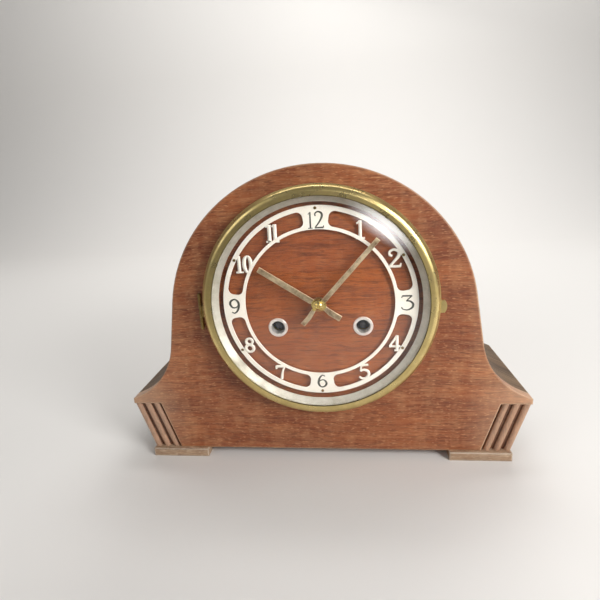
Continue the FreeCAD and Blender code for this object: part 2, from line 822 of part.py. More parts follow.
def chapter_ring():
    """Pierced ring: two bands joined by solid pads at twelve, three, six and nine."""
    body = new_body("chapter_ring", ("0", "ring_y", "dial_height"))
    loops = []
    for quarter in range(4):
        start = "%d + pad_angle" % (90 * quarter)
        end = "%d - pad_angle" % (90 * quarter + 90)
        far = "slot_corner / slot_outer * 180 / pi"
        near = "slot_corner / slot_inner * 180 / pi"
        corner = ("slot_corner", 1)
        loops.append([
            polar("slot_outer", start + " + " + far) + ("slot_outer", 1),
            polar("slot_outer", end + " - " + far) + corner,
            polar("slot_outer - slot_corner", end),
            polar("slot_inner + slot_corner", end) + corner,
            polar("slot_inner", end + " - " + near) + ("slot_inner", -1),
            polar("slot_inner", start + " + " + near) + corner,
            polar("slot_inner + slot_corner", start),
            polar("slot_outer - slot_corner", start) + corner,
        ])
    circles = [("0", "0", "ring_outer"), ("0", "0", "ring_inner")]
    circles += [spot + ("pin_radius + pivot_gap",) for spot in ring_pin_places()]
    pad(body, "ring", "ring_thickness", loops, circles)


def ring_pin_places():
    return [polar("pin_place", str(30 + 60 * i)) for i in range(6)]


def ring_pins():
    """Small pins that hold the ring off the board, with heads on its outer band."""
    body = new_body("ring_pins", ("0", "ring_y - pin_head", "dial_height"))
    heads = [spot + ("pin_radius * pin_head_share",) for spot in ring_pin_places()]
    shanks = [spot + ("pin_radius",) for spot in ring_pin_places()]
    pad(body, "shanks", "pin_head + ring_thickness + ring_standoff", circles=shanks)
    pad(body, "heads", "pin_head", circles=heads)


def eyelet(label, side):
    spot = "winding_x" if side > 0 else "-winding_x"
    body = new_body(label, (spot, "front_y", "winding_z"))
    turned(body, "tube", [
        ("eyelet_bore", "-eyelet_flange_thickness"),
        ("eyelet_flange - eyelet_flange_thickness / 2", "-eyelet_flange_thickness"),
        ("eyelet_flange", "0"),
        ("eyelet_radius - pipe_gap", "0"),
        ("eyelet_radius - pipe_gap", "eyelet_length"),
        ("eyelet_bore", "eyelet_length"),
    ])


# Bezel, glass and sight ring

def bezel_ring():
    body = new_body("bezel_ring", ("0", "front_y", "dial_height"))
    rebate = "glass_radius + glass_gap"
    turned(body, "section", [
        ("bezel_radius", "-bezel_gap"),
        (rebate + " + bezel_lip", "-bezel_gap"),
        (rebate + " + bezel_lip", "-bezel_rise"),
        (rebate, "-bezel_rise - bezel_lip"),
        (rebate, "-bezel_height + bezel_lip"),
        ("bezel_bore", "-bezel_height + bezel_lip"),
        ("bezel_bore", "-bezel_height + bezel_lip * bezel_edge_share"),
        ("bezel_bore + bezel_lip / 2", "-bezel_height"),
        ("bezel_crest", "-bezel_height", "bezel_curve", 1),
        ("bezel_radius - bezel_step", "-bezel_rise - bezel_step"),
        ("bezel_radius", "-bezel_rise"),
    ])


def glass_lens():
    """Convex glass: a shallow bowl whose rim sits behind the bezel's lip."""
    body = new_body("glass_lens", ("0", "front_y", "dial_height"))
    sphere = "(glass_radius ^ 2 + glass_rise ^ 2) / (2 * glass_rise)"
    turned(body, "bowl", [
        ("0", "-front_reach", sphere, 1),
        ("glass_radius", "-glass_front"),
        ("glass_radius", "-glass_front + glass_thickness", sphere, -1),
        ("0", "-front_reach + glass_thickness"),
    ])


def sight_ring():
    body = new_body("sight_ring", ("0", "front_y", "dial_height"))
    rear = "-glass_front + glass_thickness + glass_gap"
    turned(body, "cone", [
        ("glass_radius", rear),
        ("glass_radius", rear + " + sight_thickness"),
        ("glass_radius - sight_flange", rear + " + sight_thickness"),
        ("sight_inner", rear + " + sight_drop + sight_thickness"),
        ("sight_inner", rear + " + sight_drop"),
        ("glass_radius - sight_flange", rear),
    ])


def bezel_catch():
    """Small brass tab at the right of the bezel, pulled to open it."""
    level = "front_y - bezel_rise + bezel_step / 2"
    body = new_body("bezel_catch", ("0", level, "dial_height"))
    low = "-catch_drop - catch_height / 2"
    high = "-catch_drop + catch_height / 2"
    nose = "bezel_radius + catch_reach - catch_height * (1 - catch_nose_share)"
    loop = [
        ("sqrt(bezel_radius ^ 2 - (%s) ^ 2)" % low, low),
        (nose, low, "catch_height * catch_nose_share", 1),
        (nose, high),
        ("sqrt(bezel_radius ^ 2 - (%s) ^ 2)" % high, high, "bezel_radius", -1),
    ]
    pad(body, "tab", "catch_thickness", [loop])


def bezel_hinge():
    """Leaf let into the front board with its pin, and the leaf that swings on it."""
    third = "hinge_length / 3"
    centre = ("hinge_x", "-hinge_rise")
    bore = "hinge_pin_radius + pivot_gap"
    root = "hinge_pin_radius + 2 * pivot_gap"
    left = "hinge_x - hinge_leaf / 2"
    right = "hinge_x + hinge_leaf / 2"
    face = "hinge_knuckle * hinge_strip_share"
    leaf = new_body("bezel_hinge_case_leaf", ("0", "front_y", "0"))
    plate = rectangle(left, "hinge_low", right, "hinge_high")
    pad(leaf, "plate", "hinge_depth", [plate])
    for i, start in enumerate(("hinge_low", "hinge_low + 2 * " + third)):
        strip = rectangle(left, start, right, start + " + " + third)
        pad(leaf, "strip_%d" % i, "hinge_rise - " + face, [strip],
            level=face + " - hinge_rise")
        upright(leaf, "tube_%d" % i, start, third, centre, "hinge_knuckle")
    upright(leaf, "pin", "hinge_low", "hinge_length", centre, "hinge_pin_radius")
    moving = new_body("bezel_hinge_moving_leaf", ("0", "front_y", "0"))
    low = "hinge_low + " + third + " + hinge_gap"
    length = third + " - 2 * hinge_gap"
    edges = []
    for z in (low, low + " + " + length):
        edges.append(("-sqrt(bezel_radius ^ 2 - (%s - dial_height) ^ 2)" % z, z))
    blade = [
        ("hinge_x + " + root, low),
        edges[0] + ("bezel_radius", -1),
        edges[1],
        ("hinge_x + " + root, low + " + " + length),
    ]
    pad(moving, "blade", "hinge_leaf", [blade], level="-hinge_rise - hinge_leaf / 2")
    upright(moving, "tube", low, length, centre, "hinge_knuckle", bore)


# Hands

def hand(label, name, bore):
    """Straight baton with a counter tail, fitted on its pipe at a round boss."""
    level = "front_y - %s_level" % name
    body = new_body(label, ("0", level, "dial_height"), name + "_angle")
    half = name + "_width / 2"
    tip = half + " * hand_tip_share"
    bar = [
        (half, "0"),
        (tip, name + "_length"),
        (minus(tip), name + "_length"),
        (minus(half), "0"),
        (minus(half), minus(name + "_tail")),
        (half, minus(name + "_tail")),
    ]
    pad(body, "baton", "hand_thickness", [bar])
    pad(body, "boss", "hand_thickness", circles=[("0", "0", name + "_boss")])
    pocket(body, "bore", "hand_thickness", circles=[("0", "0", bore + " + pipe_gap / 2")])


def hand_collet():
    level = "front_y - minute_level - collet_thickness"
    body = new_body("hand_collet", ("0", level, "dial_height"))
    circles = [("0", "0", "collet_radius"), ("0", "0", "arbor_radius + pivot_gap")]
    pad(body, "washer", "collet_thickness", circles=circles)


def hand_nut():
    level = "front_y - minute_level - collet_thickness - nut_thickness"
    body = new_body("hand_nut", ("0", level, "dial_height"))
    turned(body, "dome", [
        ("arbor_radius + pivot_gap", "nut_thickness"),
        ("arbor_radius + pivot_gap", "0"),
        ("nut_radius * nut_crown_share", "0"),
        ("nut_radius", "nut_thickness * nut_edge_share"),
        ("nut_radius", "nut_thickness"),
    ])


# Movement frame

def plate_loop():
    side = "plate_half_width"
    return both_sides([
        (side + " - plate_corner", "-plate_bottom"),
        (side, "plate_corner - plate_bottom"),
        (side, "plate_top - plate_corner"),
        (side + " - plate_corner", "plate_top"),
    ])


def pillar_places():
    places = []
    for side in ("", "-"):
        places.append((side + "pillar_top_x", "pillar_top_z"))
        places.append((side + "pillar_low_x", "-pillar_low_z"))
    return places


def pivot_holes(centre):
    """Holes of the arbors in a plate; the centre arbor's hole differs between the plates."""
    fine = "pivot_radius + pivot_gap"
    stout = "winding_radius + pivot_gap"
    return [
        ("0", "0", centre),
        ("winding_x", "-winding_drop", stout),
        ("-winding_x", "-winding_drop", stout),
        ("third_x", "third_z", fine),
        ("0", "escape_z", fine),
        ("0", "pallet_z", fine),
        ("-pin_wheel_x", "pin_wheel_z", fine),
        ("-warn_x", "warn_z", fine),
        ("-fly_x", "fly_z", fine),
        ("-hammer_arbor_x", "-hammer_arbor_drop", fine),
    ]


def click_spots():
    return [("winding_x - click_offset", "click_rise - winding_drop"),
            ("-winding_x - click_offset", "click_rise - winding_drop")]


def front_plate():
    """Front plate with the studs of the minute wheel and the clicks riveted in."""
    body = new_body("front_plate", ("0", "plate_y", "dial_height"))
    pad(body, "plate", "plate_thickness", [plate_loop()],
        pivot_holes("arbor_radius + pivot_gap"))
    pad(body, "stud", "plate_y - hour_wheel_y + train_gap",
        circles=[("0", "-motion_drop", "arbor_radius")],
        level="hour_wheel_y - train_gap - plate_y")
    studs = [spot + ("click_stud_radius",) for spot in click_spots()]
    pad(body, "click_studs", "plate_y - ratchet_y", circles=studs, level="ratchet_y - plate_y")


def back_plate():
    body = new_body("back_plate", ("0", "back_plate_y", "dial_height"))
    pad(body, "plate", "plate_thickness", [plate_loop()], pivot_holes("pivot_radius + pivot_gap"))


def pillars():
    """Four turned pillars between the plates, waisted between round ends."""
    body = new_body("pillars", ("0", "space_y", "dial_height"))
    ends = [spot + ("pillar_radius",) for spot in pillar_places()]
    waists = [spot + ("pillar_radius * pillar_waist_share",) for spot in pillar_places()]
    pad(body, "waists", "plate_space", circles=waists)
    pad(body, "front_ends", "pillar_radius", circles=ends)
    pad(body, "back_ends", "pillar_radius", circles=ends, level="plate_space - pillar_radius")


def movement_posts():
    """Posts that carry the front plate on the back of the front board."""
    body = new_body("movement_posts", ("0", "board_back_y", "dial_height"))
    circles = [spot + ("post_radius",) for spot in pillar_places()]
    pad(body, "posts", "motion_gap", circles=circles)


def plate_nuts():
    body = new_body("plate_nuts", ("0", "rear_y", "dial_height"))
    loops = []
    for x, z in pillar_places():
        corners = []
        for i in range(6):
            dx, dz = polar("pillar_radius", str(60 * i))
            corners.append((x + " + " + dx, z + " + " + dz))
        loops.append(corners)
    pad(body, "nuts", "nut_height", loops)


# Wheels, cut from a formula for their teeth. Half-widths are shares of the pitch and
# reaches are shares of the module.

WHEEL_TOOTH_SHARES = [(-1.25, -0.28), (0.95, -0.08), (0.95, 0.08), (-1.25, 0.28)]
LEAF_TOOTH_SHARES = [(-1.35, -0.19), (0, -0.20), (0.6, -0.11),
                     (0.6, 0.11), (0, 0.20), (-1.35, 0.19)]


def ring_of_points(count, stations, phase):
    """Closed outline that repeats stations (radius, share of the pitch) for each tooth."""
    points = []
    for i in range(count):
        for reach, share in stations:
            angle = math.radians(phase + (i + share) * 360 / count)
            points.append(FreeCAD.Vector(reach * math.cos(angle), 0, reach * math.sin(angle)))
    return Part.makePolygon(points + points[:1])


def gear_wire(count, module, shares, phase):
    """Outline of a wheel or pinion; phase is the angle of its first tooth in degrees."""
    radius = module * count / 2
    stations = [(radius + reach * module, share) for reach, share in shares]
    return ring_of_points(count, stations, phase)


def saw_wire(count, radius, depth, lean, phase):
    """Outline of a ratchet or escape wheel with pointed teeth."""
    stations = [(radius, 0), (radius - depth, lean)]
    return ring_of_points(count, stations, phase)


def prism(wire, level, thickness):
    solid = Part.Face(wire).extrude(FreeCAD.Vector(0, thickness, 0))
    return solid.translated(FreeCAD.Vector(0, level, 0))


def rod(radius, level, length):
    spot = FreeCAD.Vector(0, level, 0)
    return Part.makeCylinder(radius, length, spot, FreeCAD.Vector(0, 1, 0))


def window(inner, outer, start, end, level, thickness):
    """Opening between two crossings of a wheel."""
    def spot(radius, angle):
        turn = math.radians(angle)
        return FreeCAD.Vector(radius * math.cos(turn), 0, radius * math.sin(turn))
    middle = (start + end) / 2
    edges = [
        Part.Arc(spot(outer, start), spot(outer, middle), spot(outer, end)).toShape(),
        Part.LineSegment(spot(outer, end), spot(inner, end)).toShape(),
        Part.Arc(spot(inner, end), spot(inner, middle), spot(inner, start)).toShape(),
        Part.LineSegment(spot(inner, start), spot(outer, start)).toShape(),
    ]
    return prism(Part.Wire(edges), level, thickness)


def wheel(count, module, level, thickness, phase, crossings=0):
    solid = prism(gear_wire(count, module, WHEEL_TOOTH_SHARES, phase), level, thickness)
    root = module * (count / 2 + WHEEL_TOOTH_SHARES[0][0])
    for i in range(crossings):
        start = phase + 360 * i / crossings + value("spoke_angle")
        end = phase + 360 * (i + 1) / crossings - value("spoke_angle")
        opening = window(root * value("hub_share"), root * value("rim_share"),
                         start, end, level, thickness)
        solid = solid.cut(opening)
    return solid


def pinion(count, module, level, length, phase):
    return prism(gear_wire(count, module, LEAF_TOOTH_SHARES, phase), level, length)


def bearing(start, end):
    """Direction in degrees from one arbor to another, seen from the front."""
    return math.degrees(math.atan2(end[1] - start[1], end[0] - start[0]))


def meshed(start, end, phase, count, mate_count):
    """Phase of the mate whose gap takes the tooth that a wheel turns towards it."""
    line = bearing(start, end)
    return line + 180 + 180 / mate_count - (phase - line) * count / mate_count


def arbor_spots():
    """Places of the arbors in the plates, (x, z) from the centre arbor."""
    return {
        "centre": (0, 0),
        "going": (value("winding_x"), -value("winding_drop")),
        "strike": (-value("winding_x"), -value("winding_drop")),
        "third": (value("third_x"), value("third_z")),
        "escape": (0, value("escape_z")),
        "pin_wheel": (-value("pin_wheel_x"), value("pin_wheel_z")),
        "warn": (-value("warn_x"), value("warn_z")),
        "fly": (-value("fly_x"), value("fly_z")),
        "motion": (0, -value("motion_drop")),
    }


# Each meshing pair: driving wheel, its arbor, the pinion on the next arbor and that arbor
PAIRS = [
    ("great", "going", "centre_pinion", "centre"),
    ("centre", "centre", "third_pinion", "third"),
    ("third", "third", "escape_pinion", "escape"),
    ("great", "strike", "pin_wheel_pinion", "pin_wheel"),
    ("pin_wheel", "pin_wheel", "warn_pinion", "warn"),
    ("warn", "warn", "fly_pinion", "fly"),
    ("minute_wheel", "motion", "cannon", "centre"),
    ("hour_wheel", "centre", "minute_pinion", "motion"),
]


def train_phases():
    """First-tooth angle of each wheel, (name, arbor), and of each pinion in mesh with it."""
    at = arbor_spots()
    phases = {}
    for wheel_name, driver, pinion_name, driven in PAIRS:
        phase = bearing(at[driver], at[driven])
        phases[wheel_name, driver] = phase
        phases[pinion_name, driven] = meshed(at[driver], at[driven], phase,
                                             SIZES[wheel_name + "_count"],
                                             SIZES[pinion_name + "_count"])
    return phases


def keep(label, shape, at):
    """Sub-part whose form is cut from formulas, set at its arbor."""
    feature = doc.addObject("Part::Feature", label)
    feature.Label = label
    feature.Shape = shape.removeSplitter()
    place(feature, at)
    nodes.append(feature)


def pivoted(radius, low, high):
    """Arbor with a shoulder at two levels and a pivot through each plate."""
    pivot = rod(value("pivot_radius"), -value("plate_thickness"),
                value("plate_space + 2 * plate_thickness"))
    return pivot.fuse(rod(radius, low, high - low))


def barrel(label, arbor, great_level, phases):
    """Spring drum with its great wheel, running free on the winding arbor."""
    solid = wheel(SIZES["great_count"], value("great_module"), value(great_level),
                  value("great_thickness"), phases["great", arbor])
    solid = solid.fuse(rod(value("drum_radius"), value("drum_at"), value("drum_length")))
    solid = solid.cut(rod(value("winding_radius + pivot_gap"), 0, value("plate_space")))
    keep(label, solid, (winding_side(arbor), "space_y", "winding_z"))


def winding_side(arbor):
    return "winding_x" if arbor == "going" else "-winding_x"


def winding_arbor(label, arbor):
    """Stout arbor whose squared front end stands in the dial's winding hole."""
    body = new_body(label, (winding_side(arbor), "front_y", "winding_z"))
    half = "square_side / 2"
    square = rectangle(minus(half), minus(half), half, half)
    pad(body, "square", "ratchet_y - front_y - square_recess", [square], level="square_recess")
    pad(body, "shaft", "rear_y - ratchet_y", circles=[("0", "0", "winding_radius")],
        level="ratchet_y - front_y")


def ratchet(label, arbor):
    wire = saw_wire(SIZES["ratchet_count"], value("ratchet_radius"), value("ratchet_depth"),
                    value("ratchet_lean_share"), 90)
    disc = prism(wire, 0, value("ratchet_thickness"))
    bore = rod(value("winding_radius + pipe_gap / 2"), 0, value("ratchet_thickness"))
    keep(label, disc.cut(bore), (winding_side(arbor), "ratchet_y", "winding_z"))


def click(label, spot):
    """Pawl that drops into the ratchet, turning on a stud of the front plate."""
    body = new_body(label, (spot[0], "ratchet_y", "dial_height + " + spot[1]))
    crown = "ratchet_radius - click_rise"
    blade = [
        ("0", "-click_boss"),
        ("click_offset - 2 * ratchet_depth", crown + " + click_nose"),
        ("click_offset - 2 * click_nose", crown + " - ratchet_depth + click_edge"),
        ("click_offset - click_shoulder", "click_boss * click_tail_share"),
        ("0", "click_boss"),
    ]
    bore = [("0", "0", "click_stud_radius + pivot_gap")]
    pad(body, "blade", "ratchet_thickness", [blade])
    pad(body, "boss", "ratchet_thickness", circles=[("0", "0", "click_boss")])
    pocket(body, "bore", "ratchet_thickness", circles=bore)


def train_wheel(label, name, radius, phases, spot, pinion_module, wheel_level, pinion_level,
                pinion_length, extra=None):
    """Wheel and pinion of one arbor between the plates."""
    low = min(value(wheel_level), value(pinion_level))
    high = max(value(wheel_level + " + wheel_thickness"),
               value(pinion_level) + value(pinion_length))
    solid = pivoted(value(radius), low, high)
    leaves = name + "_pinion"
    solid = solid.fuse(pinion(SIZES[leaves + "_count"], value(pinion_module),
                              value(pinion_level), value(pinion_length),
                              phases[leaves, name]))
    if (name, name) in phases:
        solid = solid.fuse(wheel(SIZES[name + "_count"], value(name + "_module"),
                                 value(wheel_level), value("wheel_thickness"),
                                 phases[name, name], 4))
    for shape in extra or []:
        solid = solid.fuse(shape)
    keep(label, solid, spot)


def going_train(phases):
    leaf = "wheel_thickness + 2 * train_gap"
    great_leaf = "great_thickness + 2 * train_gap"
    barrel("going_barrel", "going", "going_great_at", phases)
    reach = value("space_y - front_y + minute_level + collet_thickness + nut_thickness")
    front = rod(value("arbor_radius"), -reach, reach + value("going_great_at"))
    train_wheel("centre_wheel", "centre", "arbor_radius", phases,
                ("0", "space_y", "dial_height"), "great_module", "centre_at",
                "going_great_at - train_gap", great_leaf, [front])
    train_wheel("third_wheel", "third", "train_arbor_radius", phases,
                ("third_x", "space_y", "dial_height + third_z"), "centre_module", "third_at",
                "centre_at - train_gap", leaf)
    wire = saw_wire(SIZES["escape_count"], value("escape_radius"), value("escape_depth"),
                    value("escape_lean_share"), 90 + 90 / SIZES["escape_count"])
    crown = prism(wire, value("escape_at"), value("wheel_thickness"))
    train_wheel("escape_wheel", "escape", "fine_arbor_radius", phases,
                ("0", "space_y", "dial_height + escape_z"), "third_module", "escape_at",
                "third_at - train_gap", leaf, [crown])


def strike_train(phases):
    leaf = "wheel_thickness + 2 * train_gap"
    great_leaf = "great_thickness + 2 * train_gap"
    barrel("strike_barrel", "strike", "strike_great_at", phases)
    pins = []
    for i in range(SIZES["lift_pin_count"]):
        angle = 2 * math.pi * i / SIZES["lift_pin_count"]
        pin = rod(value("lift_pin_radius"), value("pin_wheel_at - lift_pin_length"),
                  value("lift_pin_length"))
        circle = value("lift_pin_circle")
        pin.translate(FreeCAD.Vector(circle * math.cos(angle), 0, circle * math.sin(angle)))
        pins.append(pin)
    train_wheel("pin_wheel", "pin_wheel", "arbor_radius", phases,
                ("-pin_wheel_x", "space_y", "dial_height + pin_wheel_z"), "great_module",
                "pin_wheel_at", "strike_great_at - train_gap", great_leaf, pins)
    train_wheel("warning_wheel", "warn", "train_arbor_radius", phases,
                ("-warn_x", "space_y", "dial_height + warn_z"), "pin_wheel_module", "warn_at",
                "pin_wheel_at - train_gap", leaf)
    width = value("fly_radius")
    vane = Part.makeBox(2 * width, value("fly_length"), value("fly_thickness"))
    vane.translate(FreeCAD.Vector(-width, value("drum_at"), -value("fly_thickness") / 2))
    train_wheel("fly", "fly", "fine_arbor_radius", phases,
                ("-fly_x", "space_y", "dial_height + fly_z"), "warn_module", "drum_at",
                "warn_at - train_gap", leaf, [vane])


def motion_work(phases):
    """Cannon pinion, hour wheel and minute wheel between the front plate and the board."""
    thick = value("motion_wheel_thickness")
    start = -value("minute_level")
    length = value("plate_y - train_gap / 2 - front_y") - start
    solid = rod(value("cannon_radius"), start, length)
    teeth = pinion(SIZES["cannon_count"], value("cannon_module"),
                   value("minute_wheel_y - train_gap / 2 - front_y"),
                   thick + value("train_gap"), phases["cannon", "centre"])
    solid = solid.fuse(teeth).cut(rod(value("arbor_radius + pivot_gap"), start, length))
    keep("cannon_pinion", solid, ("0", "front_y", "dial_height"))
    start = -value("hour_level")
    level = value("hour_wheel_y - front_y")
    solid = rod(value("hour_pipe_radius"), start, level + thick - start)
    solid = solid.fuse(wheel(SIZES["hour_wheel_count"], value("hour_module"), level, thick,
                             phases["hour_wheel", "centre"]))
    solid = solid.cut(rod(value("cannon_radius + pipe_gap"), start, level + thick - start))
    keep("hour_wheel", solid, ("0", "front_y", "dial_height"))
    start = value("hour_wheel_y - train_gap / 2 - front_y")
    level = value("minute_wheel_y - front_y")
    length = level + thick - start
    solid = wheel(SIZES["minute_wheel_count"], value("cannon_module"), level, thick,
                  phases["minute_wheel", "motion"])
    solid = solid.fuse(pinion(SIZES["minute_pinion_count"], value("hour_module"), start, length,
                              phases["minute_pinion", "motion"]))
    solid = solid.cut(rod(value("arbor_radius + pivot_gap"), start, length))
    keep("minute_wheel", solid, ("0", "front_y", "dial_height - motion_drop"))


# Pallets and pendulum

def beside_escape(reach, angle):
    """Place at a radius and angle about the escape wheel, seen from the pallet arbor."""
    radius = "(escape_radius + pallet_gap + %s)" % reach
    return ("%s * sin(%s)" % (radius, angle), "%s * cos(%s) - pallet_drop" % (radius, angle))


def pallets():
    """Anchor over the escape wheel, its arbor, and the crutch behind the back plate."""
    body = new_body("pallets", ("0", "space_y", "dial_height + pallet_z"))
    inner = "pallet_angle - pallet_tip_angle"
    outer = "pallet_angle + pallet_tip_angle"
    half = [
        ("pallet_hub / 2", "-pallet_hub"),
        beside_escape("pallet_root - pallet_hub / 2", "pallet_shoulder_angle"),
        beside_escape("pallet_root", "pallet_angle - pallet_root_angle"),
        beside_escape("0", inner),
        beside_escape("0", outer),
        beside_escape("pallet_root", "pallet_angle + pallet_root_angle"),
        beside_escape("pallet_arm", "pallet_shoulder_angle"),
        ("pallet_hub / 2", "pallet_hub"),
    ]
    pad(body, "anchor", "wheel_thickness", [both_sides(half)], level="escape_at")
    pad(body, "arbor", "plate_space + 2 * plate_thickness + crutch_gap",
        circles=[("0", "0", "pivot_radius")], level="-plate_thickness")
    rear = "crutch_y - space_y"
    side = "crutch_width / 2"
    bar = rectangle(minus(side), "-crutch_length", side, "0")
    pad(body, "crutch", "crutch_thickness", [bar], level=rear)
    pad(body, "crutch_hub", "crutch_thickness", circles=[("0", "0", "pallet_hub")], level=rear)
    inside = "rod_radius + crutch_fork_gap"
    low = "-crutch_length - crutch_width"
    bridge = rectangle("-(%s) - crutch_width / 2" % inside, low,
                       inside + " + crutch_width / 2", low + " + crutch_width")
    pad(body, "bridge", "crutch_thickness", [bridge], level=rear)
    for name, sign in (("left", "-1"), ("right", "1")):
        near = "%s * (%s)" % (sign, inside)
        far = "%s * (%s + crutch_width / 2)" % (sign, inside)
        prong = rectangle(near, low, far, low + " + crutch_width")
        pad(body, name + "_prong", "pendulum_offset - crutch_gap + crutch_tongue", [prong],
            level=rear)


def back_cock():
    """Bracket on the back plate that holds the suspension spring in a slot."""
    body = new_body("back_cock", ("0", "rear_y", "swing_z + cock_rise"))
    half = "cock_width / 2"
    block = rectangle(minus(half), "0", half, "cock_height")
    depth = "pendulum_offset + spring_width / 2 + cock_wall"
    pad(body, "block", depth, [block])
    slot = rectangle("-cock_slot / 2", "0", "cock_slot / 2", "cock_height")
    pocket(body, "slot", "spring_width + 2 * crutch_fork_gap", [slot],
           level="pendulum_offset - spring_width / 2 - crutch_fork_gap")


def suspension_spring():
    body = new_body("suspension_spring", ("0", "pendulum_y - spring_width / 2", "swing_z"))
    half = "spring_thickness / 2"
    strip = rectangle(minus(half), "-spring_length", half, "cock_rise + spring_grip")
    pad(body, "strip", "spring_width", [strip])


def pendulum():
    """Rod with the hook block under the spring, lens-shaped bob and rating nut."""
    body = new_body("pendulum_rod", ("0", "pendulum_y", "swing_z"))
    half = "hook_side / 2"
    hook = rectangle(minus(half), minus(half), half, half)
    top = "-spring_length"
    pad(body, "hook", "hook_height", [hook], level=top + " - hook_height",
        plane="XY_Plane", back=False)
    upright(body, "rod", "-pendulum_length - rod_tail",
            "pendulum_length + rod_tail - spring_length - hook_height", ("0", "0"), "rod_radius")
    bob = new_body("pendulum_bob", ("0", "pendulum_y", "bob_z"))
    lens = "(bob_radius ^ 2 + (bob_half_thickness - bob_edge) ^ 2)" \
           " / (2 * (bob_half_thickness - bob_edge))"
    turned(bob, "lens", [
        ("0", "-bob_half_thickness", lens, 1),
        ("bob_radius", "-bob_edge"),
        ("bob_radius", "bob_edge", lens, 1),
        ("0", "bob_half_thickness"),
    ])
    pocket(bob, "rod_hole", "3 * bob_radius", circles=[("0", "0", "rod_radius + pivot_gap")],
           level="1.5 * bob_radius", plane="XY_Plane")
    nut = new_body("rating_nut", ("0", "pendulum_y", "bob_z - bob_radius - pivot_gap"))
    turned(nut, "knob", [
        ("rod_radius + pivot_gap", "0"),
        ("rod_radius + pivot_gap", "-rating_nut_height"),
        ("rating_nut_radius * pillar_waist_share", "-rating_nut_height"),
        ("rating_nut_radius", "-rating_nut_height * pillar_waist_share"),
        ("rating_nut_radius", "0"),
    ], "XZ_Plane")


# Hammer and gong

def hammer():
    """Cranked lifter under the pin wheel, arbor, wire and the head over the gong."""
    body = new_body("hammer", ("-hammer_arbor_x", "space_y", "hammer_z"))
    pad(body, "arbor", "plate_space + 2 * plate_thickness", circles=[("0", "0", "pivot_radius")],
        level="-plate_thickness")
    half = "lifter_width / 2"
    top = "lifter_top - lifter_drop"
    crank = [
        (half, "-pallet_hub"),
        (half, top + " - lifter_width"),
        ("lifter_reach - lifter_width", top + " - lifter_width"),
        ("lifter_reach + lifter_end", "lifter_top - lifter_width"),
        ("lifter_reach + lifter_end", "lifter_top"),
        ("lifter_reach - lifter_end", "lifter_top"),
        ("lifter_reach - lifter_end - lifter_width", top),
        (minus(half), top),
        (minus(half), "-pallet_hub"),
    ]
    pad(body, "lifter", "wheel_thickness", [crank], level="pin_wheel_at - 2 * wheel_thickness")
    pad(body, "hub", "wheel_thickness", circles=[("0", "0", "pallet_hub")],
        level="pin_wheel_at - 2 * wheel_thickness")
    level = "gong_y - space_y"
    slope_x = "hammer_drop / hammer_reach * hammer_wire"
    slope_z = "hammer_run / hammer_reach * hammer_wire"
    wire = [
        (slope_x, minus(slope_z)),
        (minus(slope_x), slope_z),
        ("-hammer_run - " + slope_x, "-hammer_drop + " + slope_z),
        ("-hammer_run + " + slope_x, "-hammer_drop - " + slope_z),
    ]
    pad(body, "wire", "2 * hammer_wire", [wire], level=level + " - hammer_wire")
    pad(body, "wire_hub", "2 * hammer_wire", circles=[("0", "0", "pallet_hub")],
        level=level + " - hammer_wire")
    centre = ("-hammer_run", level)
    face = "-hammer_drop - hammer_length / 2"
    head = "hammer_length * hammer_head_share"
    upright(body, "head", face + " + hammer_length - " + head, head, centre, "hammer_radius")
    upright(body, "nose", face, "hammer_length / 2", centre,
            "hammer_radius * pillar_waist_share")


def gong():
    """Rod gong in an iron standard, screwed to the base under the movement."""
    body = new_body("gong_block", ("gong_block_x", "gong_y - gong_block_depth / 2", "base_top"))
    rise = "gong_height - base_top"
    loop = both_sides([
        ("gong_foot_width / 2", "0"),
        ("gong_foot_width / 2", "gong_foot_height / 2"),
        ("gong_block_width / 2", "gong_foot_height"),
        ("gong_block_top / 2", rise + " - gong_block_top / 2"),
        ("gong_block_top / 2", rise + " + gong_block_top / 2"),
    ])
    pad(body, "standard", "gong_block_depth", [loop])
    start = "gong_block_x - gong_block_top / 2"
    rod_body = new_body("gong_rod", (start, "gong_y", "gong_height"))
    length = start + " + hammer_arbor_x + hammer_run + gong_overhang"
    circles = [("0", "0", "gong_radius")]
    pad(rod_body, "rod", length, circles=circles, level="-(%s)" % length, plane="YZ_Plane",
        back=False)


def check_and_export():
    doc.recompute()
    for item in doc.Objects:
        if "Invalid" in item.State or "Error" in item.State:
            raise RuntimeError(item.Label + " failed: " + str(item.State))
    for node in nodes:
        shape = node.Shape
        if shape.isNull() or not shape.isValid():
            raise RuntimeError(node.Label + " has no valid shape")
        shape.exportStep("parts/%s.step" % node.Label)
        print("%-26s solids %2d  volume %10.1f" % (node.Label, len(shape.Solids), shape.Volume))


front_board()
case_wrap()
end_rails()
base_board()
back_board()
back_door()
door_hinges()
turn_button()
glue_blocks()
foot("foot_left", -1)
foot("foot_right", 1)
reeded_block("reeded_block_left", -1)
reeded_block("reeded_block_right", 1)
chapter_ring()
ring_pins()
eyelet("eyelet_left", -1)
eyelet("eyelet_right", 1)
bezel_ring()
glass_lens()
sight_ring()
bezel_catch()
bezel_hinge()
hand("hour_hand", "hour", "hour_pipe_radius")
hand("minute_hand", "minute", "cannon_radius")
hand_collet()
hand_nut()
front_plate()
back_plate()
pillars()
movement_posts()
plate_nuts()
for arbor_name in ("going", "strike"):
    winding_arbor(arbor_name + "_arbor", arbor_name)
    ratchet(arbor_name + "_ratchet", arbor_name)
for click_name, click_spot in zip(("going_click", "strike_click"), click_spots()):
    click(click_name, click_spot)
mesh_phases = train_phases()
going_train(mesh_phases)
strike_train(mesh_phases)
motion_work(mesh_phases)
pallets()
back_cock()
suspension_spring()
pendulum()
hammer()
gong()
check_and_export()
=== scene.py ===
"""Looks of the tambour mantel clock: oak, brass, pierced dial ring, glass, screws and light."""

